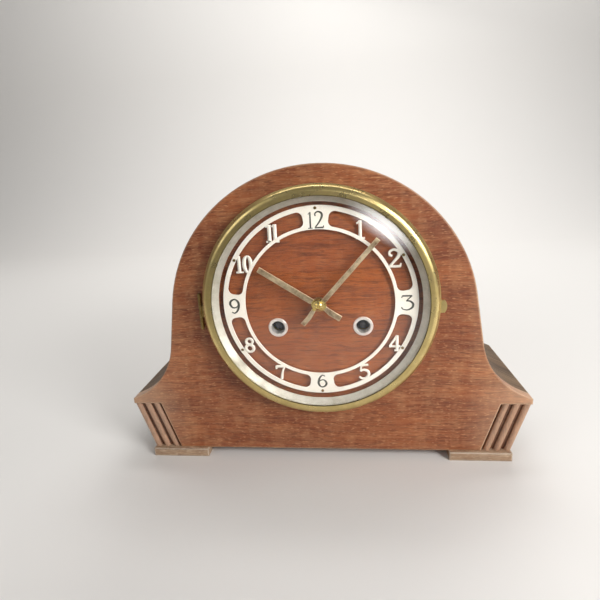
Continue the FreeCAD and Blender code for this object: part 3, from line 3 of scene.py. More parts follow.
import logging
import math
from abc import ABC, abstractmethod
from dataclasses import dataclass
from enum import Enum
from functools import partial
from typing import Any, ClassVar, Sequence

import bmesh
import bpy
from bpy.types import ID, Material, Mesh, Node, NodeSocket, NodeTree, Object
from mathutils import Matrix, Vector


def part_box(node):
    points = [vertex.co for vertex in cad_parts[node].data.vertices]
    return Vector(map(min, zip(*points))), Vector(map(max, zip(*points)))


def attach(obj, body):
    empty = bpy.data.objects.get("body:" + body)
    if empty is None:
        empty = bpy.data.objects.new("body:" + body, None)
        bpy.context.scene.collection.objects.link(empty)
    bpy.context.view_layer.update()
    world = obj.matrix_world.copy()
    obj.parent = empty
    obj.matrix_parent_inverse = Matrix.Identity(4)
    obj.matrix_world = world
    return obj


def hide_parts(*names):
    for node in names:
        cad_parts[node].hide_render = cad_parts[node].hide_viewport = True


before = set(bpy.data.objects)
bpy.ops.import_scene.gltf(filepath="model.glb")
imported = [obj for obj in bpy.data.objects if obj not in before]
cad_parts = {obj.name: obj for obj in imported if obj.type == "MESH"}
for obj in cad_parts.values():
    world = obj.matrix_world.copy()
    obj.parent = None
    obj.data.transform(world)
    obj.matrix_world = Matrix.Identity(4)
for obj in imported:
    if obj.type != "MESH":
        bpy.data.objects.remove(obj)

log = logging.getLogger("mantel_clock")

MM = 0.001
QUARTER = math.pi / 2
Point = tuple[float, float]
Place = tuple[float, float, float]
# One stroke of a figure: a run of (x, y, half width) in heights of the figure, from its lower
# left; a run of two is straight, a longer one is smooth
Stroke = Sequence[Place]
Alphabet = dict[str, list[Stroke]]

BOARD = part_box("front_board")
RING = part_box("chapter_ring")
DIAL_Z = (RING[0].z + RING[1].z) / 2
FRONT_Y = BOARD[0].y
ARCH_Z = 113.5 * MM
ARCH_RADIUS = 112.0 * MM
OVAL_POINTS = 12
SPAN_PARTS = 8


def linear(colour: str) -> tuple[float, float, float, float]:
    """Turns an sRGB hex colour to linear light.

    Args:
        colour: Six hex digits after a hash.

    Returns:
        Red, green, blue and an alpha of one.
    """
    parts = [int(colour[i:i + 2], 16) / 255 for i in (1, 3, 5)]
    light = [p / 12.92 if p <= 0.04045 else ((p + 0.055) / 1.055) ** 2.4 for p in parts]
    return light[0], light[1], light[2], 1.0


def add_node(tree: NodeTree, kind: str, given: dict[Any, Any] | Sequence[Any] = (),
             **settings: Any) -> Node:
    """Adds a node with its settings and its inputs, each a value or a link.

    Args:
        tree: The tree that gets the node.
        kind: The node's type name; one without Node in it is a shader node's.
        given: Values, sockets or nodes for its inputs, in order or by name or number; a node
            stands for the first of its outputs that is in use.
        settings: Properties of the node itself.

    Returns:
        The new node.
    """
    node = tree.nodes.new(kind if "Node" in kind else f"ShaderNode{kind}")
    for name, setting in settings.items():
        setattr(node, name, setting)
    for name, what in given.items() if isinstance(given, dict) else enumerate(given):
        if isinstance(what, Node):
            what = next(socket for socket in what.outputs if socket.enabled)
        if isinstance(what, NodeSocket):
            tree.links.new(what, node.inputs[name])
        else:
            node.inputs[name].default_value = what
    return node


class GrainRun(Enum):
    """Which way the grain of a wooden piece runs."""

    ACROSS = "left to right"
    UPRIGHT = "from bottom to top"
    BENT = "round the arch"
    DEEP = "from front to back"


class Tooling(Enum):
    """What the last tool left on a metal surface."""

    PLAIN = "polished or tumbled"
    TURNED = "fine rings about the dial's centre"
    BRUSHED = "fine lines from left to right"


def edge_share(tree: NodeTree, radius: float, full: float) -> tuple[Node, Node]:
    """Finds the outer edges of a piece by how far a rounded normal leaves the flat one.

    Args:
        tree: The material's tree.
        radius: Radius of the softened edge, in metres.
        full: Cosine between the normals at which wear is full.

    Returns:
        The share of wear and the rounded normal.
    """
    soft = add_node(tree, "Bevel", {"Radius": radius}, samples=4)
    flat = add_node(tree, "NewGeometry").outputs["Normal"]
    cosine = add_node(tree, "VectorMath", (soft, flat), operation="DOT_PRODUCT")
    share = add_node(tree, "MapRange", {"Value": cosine, "From Min": 0.99, "From Max": full})
    return share, soft


def radius_about_dial(tree: NodeTree) -> Node:
    """Distance of a point from the dial's axis, in metres."""
    place = add_node(tree, "TexCoord").outputs["Object"]
    moved = add_node(tree, "VectorMath", (place, (0.0, 0.0, DIAL_Z)), operation="SUBTRACT")
    flat = add_node(tree, "VectorMath", (moved, (1.0, 0.0, 1.0)), operation="MULTIPLY")
    return add_node(tree, "VectorMath", (flat,), operation="LENGTH")


@dataclass(frozen=True)
class Finish(ABC):
    """Look of a surface, made a material by the shader that each kind of finish adds."""

    name: str
    note: ClassVar[str]

    def build(self) -> Material:
        """Builds the finish.

        Returns:
            The material, which keeps a note of what it gives the eye.
        """
        material = bpy.data.materials.new(self.name)
        material.use_nodes = True
        material["looks"] = self.note
        tree = material.node_tree
        tree.nodes.clear()
        add_node(tree, "OutputMaterial", (self.shader(tree),))
        return material

    @abstractmethod
    def shader(self, tree: NodeTree) -> Node:
        """Adds the finish's nodes to a tree and gives the last shader."""


@dataclass(frozen=True)
class OakFinish(Finish):
    """Oak or plain wood with open pores, streaks, ray flecks, rubbed edges and, where set, painted
    shade in hollows with a painted highlight on crowns.

    Veneer sliced from oak, stained and varnished: dark pores a few millimetres long, paler
    streaks, and light wood where hands have rubbed the varnish off the edges.
    """

    dark: str
    mid: str
    light: str
    pore: str
    worn: str
    run: GrainRun = GrainRun.ACROSS
    roughness: float = 0.42
    varnish: float = 0.25
    wear: float = 0.95
    wear_width: float = 2.0 * MM
    contrast: float = 1.0
    # Strength of the painted shade in hollows; when set, open crowns also get a painted highlight
    groove_shade: float = 0.0
    worn_ends: float = 0.0
    behind_glass: str = ""

    note = "stained oak with pores, flecks and wear"
    # Each layer: length and width of its marks in mm, detail, and where it fades in
    layers = {
        "rings": (95, 12, 3.0, 0.36, 0.64),
        "mottle": (7, 26, 2.0, 0.46, 0.66),
        "streaks": (18, 1.2, 3.0, 0.42, 0.68),
        "pores": (7, 0.8, 2.0, 0.52, 0.64),
        "waves": (26, 2.0, 3.0, 0.50, 0.66),
        "flecks": (4, 1.0, 1.0, 0.60, 0.70),
        "patches": (60, 50, 4.0, 0.38, 0.62),
    }
    # Radii about the dial between which the board turns from open to behind the glass, the
    # tint's share there, distances from the middle between which the ends grow pale, the
    # grain's sway, and the cosine at which an edge is fully worn
    glass_rim = {"From Min": 82 * MM, "From Max": 79 * MM}
    glass_tint = 0.8
    pale_ends = {"From Min": 105 * MM, "From Max": 160 * MM}
    sway = 9.0 * MM
    full_wear = 0.86

    def grain(self, tree: NodeTree) -> Node:
        """Coordinates with the grain along X and the rings across Y, in metres."""
        add = partial(add_node, tree)
        place = add("TexCoord").outputs["Object"]
        x, y, z = add("SeparateXYZ", (place,)).outputs
        if self.run is GrainRun.BENT:
            rise = add("Math", (z, ARCH_Z), operation="SUBTRACT")
            angle = add("Math", (x, rise), operation="ARCTAN2")
            arc = add("Math", (angle, ARCH_RADIUS), operation="MULTIPLY")
            along, across, deep = arc, y, 0.0
        else:
            along, across, deep = {GrainRun.ACROSS: (x, z, y), GrainRun.UPRIGHT: (z, x, y),
                                   GrainRun.DEEP: (y, x, z)}[self.run]
        drift = add("TexNoise", {"Vector": place, "Scale": 14.0, "Detail": 2.0})
        swayed = add("Math", (drift, self.sway, across), operation="MULTIPLY_ADD")
        return add("CombineXYZ", {"X": along, "Y": swayed, "Z": deep})

    def shader(self, tree: NodeTree) -> Node:
        """Lays the wood's marks and wear over its two ground tones, under thin varnish.

        Args:
            tree: The material's tree.

        Returns:
            The wood's shader.
        """
        add = partial(add_node, tree)
        grain = self.grain(tree)
        shares = {}
        for layer, (length, width, detail, low, high) in self.layers.items():
            across = 1 / (width * MM)
            stretched = add(
                "Mapping", {"Vector": grain, "Scale": (1 / (length * MM), across, across)})
            noise = add("TexNoise", {
                "Vector": stretched, "Scale": 1.0, "Detail": detail, "Roughness": 0.6})
            shares[layer] = add("MapRange", {"Value": noise, "From Min": low, "From Max": high})
        # Each coat: its share and its tint, laid over the ones before
        coats = [(shares["rings"], self.mid)]
        gloss: Any = self.roughness
        zone = None
        if self.behind_glass:
            zone = add("MapRange", {"Value": radius_about_dial(tree), **self.glass_rim})
            tinted = add("Math", (zone, self.glass_tint), operation="MULTIPLY")
            coats.append((tinted, self.behind_glass))
            gloss = add("MapRange", {"Value": zone, "To Min": self.roughness, "To Max": 0.4})
        # Each step: layer, tint, strength in the open, and strength behind the glass
        steps = [("streaks", self.light, 0.42 * self.contrast, 0.08),
                 ("patches", self.dark, 0.42, 0.30),
                 ("mottle", self.light, 0.18 * self.contrast, 0.06),
                 ("waves", self.pore, 0.22 * self.contrast, 0.55),
                 ("pores", self.pore, 0.58 * self.contrast, 0.50),
                 ("flecks", self.light, 0.55 * self.contrast, 0.05)]
        for layer, tint, strength, behind in steps:
            amount = strength if zone is None else add(
                "MapRange", {"Value": zone, "To Min": strength, "To Max": behind})
            share = add("Math", (shares[layer], amount), operation="MULTIPLY")
            coats.append((share, tint))
        edge, rounded = edge_share(tree, self.wear_width, self.full_wear)
        rubbed = add("MapRange", {
            "Value": shares["patches"], "From Min": 0.15, "From Max": 0.75, "To Min": 0.5})
        speckle = add("Math", (edge, rubbed), operation="MULTIPLY")
        wear = add("Math", (speckle, self.wear), operation="MULTIPLY")
        coats.append((wear, self.worn))
        if self.worn_ends:
            place = add("TexCoord").outputs["Object"]
            x = add("SeparateXYZ", (place,)).outputs["X"]
            away = add("Math", (x,), operation="ABSOLUTE")
            ends = add("MapRange", {"Value": away, **self.pale_ends, "To Max": self.worn_ends})
            thin = add("Math", (ends, rubbed), operation="MULTIPLY")
            coats.append((thin, self.worn))
        # Painted shade and highlight: the ambient occlusion darkens the hollows and lightens the
        # open crowns in the worn tone
        if self.groove_shade:
            sky = add("AmbientOcclusion", {"Distance": 2.5 * MM}, samples=8,
                      only_local=True).outputs["AO"]
            painted_groove_shade = add("MapRange", {
                "Value": sky, "From Min": 0.9, "From Max": 0.45, "To Max": self.groove_shade})
            crown = add("MapRange", {"Value": sky, "From Min": 0.86, "To Max": 0.32})
            coats += [(crown, self.worn), (painted_groove_shade, self.pore)]
        colour: Any = linear(self.dark)
        for share, tint in coats:
            colour = add("Mix", {0: share, 6: colour, 7: linear(tint)}, data_type="RGBA")
        relief = add("Math", (shares["streaks"], shares["pores"]), operation="SUBTRACT")
        bump = add(
            "Bump", {"Strength": 0.35, "Distance": 0.15 * MM, "Height": relief, "Normal": rounded})
        return add("BsdfPrincipled", {
            "Base Color": colour, "Roughness": gloss, "Coat Weight": self.varnish,
            "Coat Roughness": 0.3, "Normal": bump})


@dataclass(frozen=True)
class MetalFinish(Finish):
    """Bare or lacquered metal with tarnish, tool lines and bright rubbed edges."""

    bright: str
    tarnish: str
    roughness: float = 0.3
    tarnish_share: float = 0.5
    tooling: Tooling = Tooling.PLAIN
    line_pitch: float = 0.9 * MM
    patch: float = 12 * MM
    edge_width: float = 0.35 * MM
    gap_shade: str = ""
    hub_bright: str = ""

    note = "metal with tarnish and tool lines"
    # Radii about the dial between which the painted shade of the gap and the bright hub fade in,
    # the cosine at which an edge is fully bright, and the brushed lines in a metre, along and
    # across
    gap_shade_rim = {"From Min": 77.3 * MM, "From Max": 76.8 * MM}
    hub_rim = {"From Min": 5.7 * MM, "From Max": 5.3 * MM}
    full_wear = 0.85
    brushed = (60.0, 900.0, 900.0)

    def shader(self, tree: NodeTree) -> Node:
        """Lays tarnish, bright edges, a painted shade line at the gap and the hub over bright
        metal.

        Args:
            tree: The material's tree.

        Returns:
            The metal's shader.
        """
        add = partial(add_node, tree)
        place = add("TexCoord").outputs["Object"]
        cloud = add("TexNoise", {
            "Vector": place, "Scale": 1 / self.patch, "Detail": 5.0, "Roughness": 0.65})
        share = add("MapRange", {
            "Value": cloud, "From Min": 0.38, "From Max": 0.66, "To Max": self.tarnish_share})
        coats = [(share, self.tarnish)]
        normal: Any = add("NewGeometry").outputs["Normal"]
        if self.edge_width:
            edge, normal = edge_share(tree, self.edge_width, self.full_wear)
            coats.append((edge, self.bright))
        # Painted shade: a dark ring on the bezel's lip, where the gap before the sight ring lies
        if self.gap_shade:
            line = add("MapRange", {
                "Value": radius_about_dial(tree), **self.gap_shade_rim, "To Max": 0.8})
            coats.append((line, self.gap_shade))
        gloss = add("MapRange", {
            "Value": cloud, "From Min": 0.35, "From Max": 0.65,
            "To Min": self.roughness * 0.8, "To Max": self.roughness * 1.3})
        if self.hub_bright:
            hub = add("MapRange", {"Value": radius_about_dial(tree), **self.hub_rim})
            coats.append((hub, self.hub_bright))
            gloss = add("MapRange", {"Value": hub, "To Min": self.roughness, "To Max": 0.16})
        if self.tooling is not Tooling.PLAIN:
            normal = add("Bump", {
                "Strength": 0.25, "Distance": 0.05 * MM, "Height": self.tool_lines(tree),
                "Normal": normal})
        colour: Any = linear(self.bright)
        for share, tint in coats:
            colour = add("Mix", {0: share, 6: colour, 7: linear(tint)}, data_type="RGBA")
        return add("BsdfPrincipled", {
            "Base Color": colour, "Metallic": 1.0, "Roughness": gloss, "Normal": normal})

    def tool_lines(self, tree: NodeTree) -> Node:
        """Height of the lines that a tool left.

        Args:
            tree: The material's tree.

        Returns:
            A height between nought and one.
        """
        add = partial(add_node, tree)
        if self.tooling is Tooling.TURNED:
            scaled = add(
                "Math", (radius_about_dial(tree), 1 / self.line_pitch), operation="MULTIPLY")
            return add(
                "TexNoise", {"W": scaled, "Scale": 1.0, "Detail": 2.0}, noise_dimensions="1D")
        place = add("TexCoord").outputs["Object"]
        stretched = add("Mapping", {"Vector": place, "Scale": self.brushed})
        return add("TexNoise", {"Vector": stretched, "Scale": 1.0, "Detail": 2.0})


@dataclass(frozen=True)
class CoatedFinish(Finish):
    """Paint or plating that hides the metal: cream lacquer, black fill, painted iron."""

    colour: str
    shade: str
    roughness: float = 0.45
    metallic: float = 0.0
    shade_share: float = 0.35
    patch: float = 9 * MM
    bumps: float = 0.0

    note = "coating with faint age spots"

    def shader(self, tree: NodeTree) -> Node:
        """Clouds the coating with its shade.

        Args:
            tree: The material's tree.

        Returns:
            The coating's shader.
        """
        add = partial(add_node, tree)
        place = add("TexCoord").outputs["Object"]
        cloud = add("TexNoise", {
            "Vector": place, "Scale": 1 / self.patch, "Detail": 6.0, "Roughness": 0.7})
        share = add("MapRange", {
            "Value": cloud, "From Min": 0.45, "From Max": 0.75, "To Max": self.shade_share})
        colour = add(
            "Mix", {0: share, 6: linear(self.colour), 7: linear(self.shade)}, data_type="RGBA")
        rounded = add("Bevel", {"Radius": 0.25 * MM}, samples=4)
        normal = add("Bump", {
            "Strength": self.bumps, "Distance": 0.2 * MM, "Height": cloud, "Normal": rounded})
        return add("BsdfPrincipled", {
            "Base Color": colour, "Metallic": self.metallic, "Roughness": self.roughness,
            "Normal": normal})


@dataclass(frozen=True)
class GlassFinish(Finish):
    """Clear clock glass: lets lamps through, so that the dial is lit."""

    note = "clear convex glass with sharp reflections"

    def shader(self, tree: NodeTree) -> Node:
        """Mixes glass with clear air for shadow rays."""
        add = partial(add_node, tree)
        glass = add("BsdfPrincipled", {
            "Base Color": (1.0, 1.0, 1.0, 1.0), "Roughness": 0.0, "IOR": 1.45,
            "Transmission Weight": 1.0})
        clear = add("BsdfTransparent")
        shadow = add("LightPath").outputs["Is Shadow Ray"]
        return add("MixShader", (shadow, glass, clear))


@dataclass(frozen=True)
class PaperFinish(Finish):
    """Pale paper ground that is darker before the clock than under and behind it."""

    before: str
    behind: str

    note = "plain pale paper"
    # Y between which the paper turns from one tone to the other
    fade = {"From Min": -0.55, "From Max": -0.15}

    def shader(self, tree: NodeTree) -> Node:
        """Fades the paper from its tone before the clock to its tone behind."""
        add = partial(add_node, tree)
        place = add("TexCoord").outputs["Object"]
        y = add("SeparateXYZ", (place,)).outputs["Y"]
        share = add("MapRange", {"Value": y, **self.fade}, interpolation_type="SMOOTHSTEP")
        colour = add(
            "Mix", {0: share, 6: linear(self.before), 7: linear(self.behind)}, data_type="RGBA")
        return add(
            "BsdfPrincipled", {"Base Color": colour, "Roughness": 0.9, "Specular IOR Level": 0.1})


@dataclass(frozen=True)
class WindowFinish(Finish):
    """Light that is strongest in the middle of a card and dies away to its borders."""

    strength: float

    note = "soft light of a window"

    def shader(self, tree: NodeTree) -> Node:
        """Makes the card glow, less towards its borders."""
        add = partial(add_node, tree)
        place = add("TexCoord").outputs["Object"]
        soft = add("TexGradient", {"Vector": place}, gradient_type="QUADRATIC_SPHERE").outputs[
            "Fac"]
        strength = add("Math", (soft, self.strength), operation="MULTIPLY")
        return add("Emission", {"Strength": strength})


# Front board: oak veneer, stained red-brown, satin varnish, its stain warmer behind the glass
OAK_FRONT = OakFinish(
    "stained oak veneer", "#75361a", "#a96035", "#d79d6c", "#4f2412", "#e2bf9c", varnish=0.1,
    roughness=0.48, contrast=0.85, worn_ends=0.5, behind_glass="#92480f")
# Corner reeds: solid oak of the same stain, grain up the reeds, painted shade in the grooves and a
# painted highlight on the crowns
OAK_REEDS = OakFinish(
    "stained oak reeds", "#834d33", "#a56b4b", "#c99b76", "#35200f", "#e0c3a6",
    run=GrainRun.UPRIGHT, varnish=0.15, wear_width=0.9 * MM, contrast=0.8, groove_shade=0.9)
# Bent top and slanted ends: thin oak, darker and dulled by dust
OAK_WRAP = OakFinish(
    "dark bent oak", "#46301d", "#6b4f35", "#a98c68", "#20140b", "#bfa583", run=GrainRun.BENT,
    roughness=0.62, varnish=0.0)
# Feet: solid oak with most of the varnish rubbed off
OAK_FEET = OakFinish(
    "worn oak runners", "#8f6e52", "#bb9a7b", "#dcc6ab", "#6b4c38", "#e8d8c4", roughness=0.6,
    varnish=0.0, contrast=0.8)
# Back board, door and turn button: plain thin wood, only lightly stained
PLAIN_WOOD = OakFinish(
    "plain backing wood", "#7a5638", "#94704c", "#b08d68", "#59402b", "#c2a582",
    run=GrainRun.UPRIGHT, roughness=0.6, varnish=0.0, wear=0.4)
# Base board and glue blocks: raw wood that is seen only through the back door
PLAIN_BLOCKS = OakFinish(
    "plain inner wood", "#8a6a48", "#a58460", "#c0a27c", "#6b4f34", "#cbb08c", run=GrainRun.DEEP,
    roughness=0.65, varnish=0.0, wear=0.3)
# Bezel: spun brass with old lacquer, olive-gold, fine turned lines, painted shade in the gap
# before the sight ring
BEZEL_BRASS = MetalFinish(
    "aged spun brass", "#dec88a", "#ad9556", tarnish_share=0.4, tooling=Tooling.TURNED,
    edge_width=0.0, gap_shade="#2e2716")
# Hinges: brass that was never lacquered, dull and brown
HINGE_BRASS = MetalFinish(
    "dull hinge brass", "#a68f5e", "#6b5632", roughness=0.38, tarnish_share=0.7, patch=5 * MM)
# Hands: stamped brass gone brown, with the boss under the nut still bright
HAND_BRASS = MetalFinish(
    "browned hand brass", "#f2e0ba", "#7e6446", roughness=0.45, tarnish_share=0.95,
    tooling=Tooling.BRUSHED, edge_width=0.8 * MM, hub_bright="#e8cf7a")
# Fixing pins of the ring: small brass heads, mostly brown
PIN_BRASS = MetalFinish(
    "browned brass pins", "#9c8355", "#5d4a2c", roughness=0.4, tarnish_share=0.9, patch=1 * MM)
# Collet and nut of the hands: polished brass
NUT_BRASS = MetalFinish("polished brass", "#f0d98a", "#d8bd6a", roughness=0.14, tarnish_share=0.3)
# Movement: lacquered brass with brushed lines
PLATE_BRASS = MetalFinish(
    "brushed clock brass", "#d9b866", "#b08d45", tooling=Tooling.BRUSHED, patch=25 * MM)
# Pallets, clicks, rods, posts and screws: ground steel
STEEL = MetalFinish("ground steel", "#a3a7ae", "#74787f", tarnish_share=0.4, patch=15 * MM)
# Winding arbors: steel painted dark as shade, so that the squares read deep in their holes
SHADED_STEEL = MetalFinish(
    "steel darkened as shade", "#55585e", "#33363b", roughness=0.5, tarnish_share=0.6, patch=3 * MM)
# Suspension spring: thin steel tempered blue
BLUED_STEEL = MetalFinish("blued spring steel", "#5c6a86", "#3c4560", roughness=0.28)
# Sight ring: spun aluminium-silver, satin, slightly yellowed
SIGHT_SILVER = MetalFinish(
    "satin silver ring", "#c8c3b5", "#b0a895", roughness=0.6, tarnish_share=0.35,
    tooling=Tooling.TURNED, line_pitch=0.6 * MM, edge_width=0.0)
# Dial ring: cream lacquer over brass, a little yellowed, its engraved figures filled dark
CREAM = CoatedFinish("cream dial lacquer", "#eee7d9", "#d6cab3")
BLACK_FILL = CoatedFinish("dark figure fill", "#3f3f34", "#57564a", roughness=0.6)
# Eyelets: satin plating that has dulled to a warm white
NICKEL = CoatedFinish("satin nickel plating", "#ebe4db", "#c9c0b5", roughness=0.36, metallic=0.55)
# Gong block: cast iron under black paint
IRON = CoatedFinish(
    "painted cast iron", "#2a2b2d", "#3b3a38", roughness=0.55, metallic=0.3, patch=4 * MM,
    bumps=0.5)
# Glass of the bezel
CLEAR_GLASS = GlassFinish("clear clock glass")
# Staging: the ground, and the light of a window before the clock
PAPER = PaperFinish("pale paper backdrop", "#85827f", "#e2dfdb")
WINDOW_LIGHT = WindowFinish("window card light", 22.0)


def new_object(name: str, data: ID) -> Object:
    """Puts an object with its data in the scene."""
    made = bpy.data.objects.new(name, data)
    bpy.context.collection.objects.link(made)
    return made


def add_piece(name: str, mesh: Mesh, body: str) -> Object:
    """Puts a mesh in the scene as a piece of the clock.

    Args:
        name: Name of the piece.
        mesh: Its mesh, already in place.
        body: The body that it moves with.

    Returns:
        The new object.
    """
    mesh.name = name
    piece = new_object(name, mesh)
    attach(piece, body)
    log.info("%s: %d faces on %s", name, len(mesh.polygons), body)
    return piece


def evaluated_mesh(source: Object) -> Mesh:
    """Turns an object's evaluated shape to a plain mesh and deletes the object.

    Args:
        source: Object with modifiers or a curve.

    Returns:
        The mesh, in the object's own coordinates.
    """
    graph = bpy.context.evaluated_depsgraph_get()
    graph.update()
    mesh = bpy.data.meshes.new_from_object(source.evaluated_get(graph))
    bpy.data.objects.remove(source, do_unlink=True)
    return mesh


class GeometryTree:
    """Geometry nodes with named inputs, worked on an object and turned to a mesh."""

    def __init__(self, name: str, **inputs: str) -> None:
        """Starts the tree.

        Args:
            name: Name of the tree.
            inputs: Kind of socket for each input, by its name.
        """
        self.tree = bpy.data.node_groups.new(name, "GeometryNodeTree")
        face = self.tree.interface
        self.keys: dict[str, str] = {}
        face.new_socket("Geometry", in_out="INPUT", socket_type="NodeSocketGeometry")
        for label, kind in inputs.items():
            socket = face.new_socket(label, in_out="INPUT", socket_type=f"NodeSocket{kind}")
            self.keys[label] = socket.identifier
        face.new_socket("Geometry", in_out="OUTPUT", socket_type="NodeSocketGeometry")
        self.add = partial(add_node, self.tree)
        self.given = self.add("NodeGroupInput").outputs

    def end(self, shape: Node) -> None:
        """Ends the tree with Realize Instances and Set Material."""
        real = self.add("GeometryNodeRealizeInstances", (shape,))
        coated = self.add("GeometryNodeSetMaterial", {
            "Geometry": real, "Material": self.given["Material"]})
        self.add("NodeGroupOutput", (coated,))

    def work(self, holder: Object, **values: Any) -> Mesh:
        """Works the tree on an object.

        Args:
            holder: The object, which is used up.
            values: A value for each input, by its name.

        Returns:
            The finished mesh.
        """
        modifier = holder.modifiers.new(self.tree.name, "NODES")
        modifier.node_group = self.tree
        for label, what in values.items():
            modifier[self.keys[label]] = what
        return evaluated_mesh(holder)


def smooth_run(points: Stroke, closed: bool) -> list[Place]:
    """Rounds a run of points with a Catmull-Rom curve.

    Args:
        points: Places with a half width.
        closed: True for a loop.

    Returns:
        The places and the new ones between them.
    """
    count = len(points)
    made = []
    for i in range(count if closed else count - 1):
        quad = [points[at % count] if closed else points[min(max(at, 0), count - 1)]
                for at in range(i - 1, i + 3)]
        for part in range(SPAN_PARTS):
            t = part / SPAN_PARTS
            weights = (-0.5 * t + t * t - 0.5 * t ** 3, 1 - 2.5 * t * t + 1.5 * t ** 3,
                       0.5 * t + 2 * t * t - 1.5 * t ** 3, -0.5 * t * t + 0.5 * t ** 3)
            made.append(
                tuple(sum(w * q[axis] for w, q in zip(weights, quad)) for axis in range(3)))
    if not closed:
        made.append(tuple(points[-1]))
    return made


def oval(x: float, y: float, wide: float, tall: float, side: float, crown: float) -> Stroke:
    """Closed run, thick at its sides and thin at its crown."""
    angles = [i * math.tau / OVAL_POINTS for i in range(OVAL_POINTS)]
    return [(x + wide * math.cos(a), y + tall * math.sin(a),
             crown + (side - crown) * abs(math.cos(a))) for a in angles]


class Figures:
    """Strokes of the dial's figures."""

    six = [(0.58, 0.9, 0.03), (0.4, 0.98, 0.035), (0.2, 0.82, 0.05), (0.08, 0.5, 0.06),
           (0.1, 0.22, 0.06), (0.3, 0.02, 0.04), (0.56, 0.1, 0.05), (0.66, 0.32, 0.06),
           (0.56, 0.54, 0.05), (0.36, 0.61, 0.035), (0.16, 0.5, 0.03), (0.09, 0.36, 0.03)]
    cut: Alphabet = {
        "1": [[(0.3, 1.0, 0.065), (0.3, 0.0, 0.07)],
              [(0.32, 0.95, 0.05), (0.1, 0.84, 0.035)],
              [(0.06, 0.035, 0.038), (0.56, 0.035, 0.038)]],
        "2": [[(0.25, 0.63, 0.045), (0.11, 0.7, 0.05), (0.11, 0.88, 0.05), (0.34, 0.99, 0.05),
               (0.6, 0.86, 0.07), (0.58, 0.62, 0.07), (0.36, 0.34, 0.055), (0.12, 0.07, 0.05)],
              [(0.08, 0.045, 0.05), (0.7, 0.045, 0.05)],
              [(0.68, 0.02, 0.045), (0.72, 0.22, 0.03)]],
        "4": [[(0.5, 1.0, 0.05), (0.06, 0.32, 0.045)],
              [(0.03, 0.3, 0.045), (0.7, 0.3, 0.045)],
              [(0.5, 1.0, 0.065), (0.5, 0.0, 0.065)],
              [(0.34, 0.035, 0.035), (0.66, 0.035, 0.035)]],
        "5": [[(0.17, 0.93, 0.05), (0.4, 0.97, 0.055), (0.64, 0.99, 0.04)],
              [(0.2, 0.94, 0.045), (0.15, 0.54, 0.045)],
              [(0.15, 0.54, 0.035), (0.34, 0.64, 0.05), (0.6, 0.54, 0.065),
               (0.66, 0.3, 0.07), (0.5, 0.08, 0.06), (0.26, 0.03, 0.05), (0.06, 0.16, 0.045)]],
        "7": [[(0.06, 0.92, 0.06), (0.66, 0.92, 0.06)],
              [(0.06, 0.97, 0.035), (0.07, 0.74, 0.045)],
              [(0.64, 0.94, 0.04), (0.48, 0.56, 0.055), (0.38, 0.0, 0.075)]],
        "8": [oval(0.36, 0.76, 0.21, 0.2, 0.065, 0.05),
              oval(0.36, 0.28, 0.26, 0.24, 0.075, 0.05)],
        "10": [[(0.22, 1.0, 0.07), (0.22, 0.0, 0.075)],
               [(0.24, 0.95, 0.045), (0.05, 0.86, 0.03)],
               [(0.02, 0.035, 0.035), (0.46, 0.035, 0.035)],
               oval(0.72, 0.5, 0.2, 0.47, 0.085, 0.04)],
        "11": [[(0.21, 0.98, 0.078), (0.21, 0.0, 0.08)],
               [(0.53, 1.0, 0.078), (0.53, 0.0, 0.08)],
               [(0.22, 0.94, 0.045), (0.02, 0.86, 0.03)],
               [(0.53, 0.95, 0.045), (0.36, 0.88, 0.03)],
               [(0.02, 0.035, 0.04), (0.76, 0.035, 0.04)]],
    }
    engraved: Alphabet = {
        "12": [[(0.18, 0.98, 0.035), (0.18, 0.02, 0.038)],
               [(0.18, 0.95, 0.03), (0.06, 0.84, 0.018)],
               [(0.04, 0.02, 0.02), (0.32, 0.02, 0.02)],
               [(0.5, 0.73, 0.03), (0.47, 0.86, 0.028), (0.62, 0.98, 0.03), (0.84, 0.91, 0.045),
                (0.88, 0.7, 0.05), (0.72, 0.38, 0.035), (0.46, 0.05, 0.028)],
               [(0.44, 0.04, 0.034), (0.96, 0.04, 0.034)],
               [(0.95, 0.03, 0.028), (0.98, 0.17, 0.018)]],
        "3": [[(0.1, 0.94, 0.04), (0.7, 0.94, 0.04)],
              [(0.1, 0.96, 0.024), (0.06, 0.8, 0.024)],
              [(0.7, 0.95, 0.028), (0.34, 0.6, 0.028)],
              [(0.34, 0.6, 0.026), (0.56, 0.6, 0.04), (0.76, 0.42, 0.055), (0.72, 0.18, 0.052),
               (0.46, 0.03, 0.034), (0.18, 0.06, 0.028), (0.05, 0.2, 0.034)]],
        "6": [six],
        "9": [[(0.7 - x, 1 - y, w) for x, y, w in six]],
    }
    # Figures with ovals, which are loops
    looped = ("8", "10")
    # Each figure: its height in mm, its width in heights, and its middle about the dial in mm
    places = {
        "1": (12.4, 0.6, 30.0, 52.2), "2": (12.4, 0.78, 53.2, 31.7),
        "4": (12.0, 0.74, 53.6, -30.6), "5": (11.6, 0.72, 31.2, -53.0),
        "7": (11.4, 0.72, -31.0, -53.0), "8": (11.4, 0.72, -53.4, -30.8),
        "10": (12.2, 1.0, -52.4, 30.8), "11": (12.4, 0.72, -30.6, 52.0),
        "12": (11.4, 1.0, 0.0, 60.0), "3": (11.2, 0.8, 61.8, 0.0),
        "6": (10.0, 0.72, 0.0, -60.3), "9": (10.8, 0.72, -61.6, 0.0),
    }


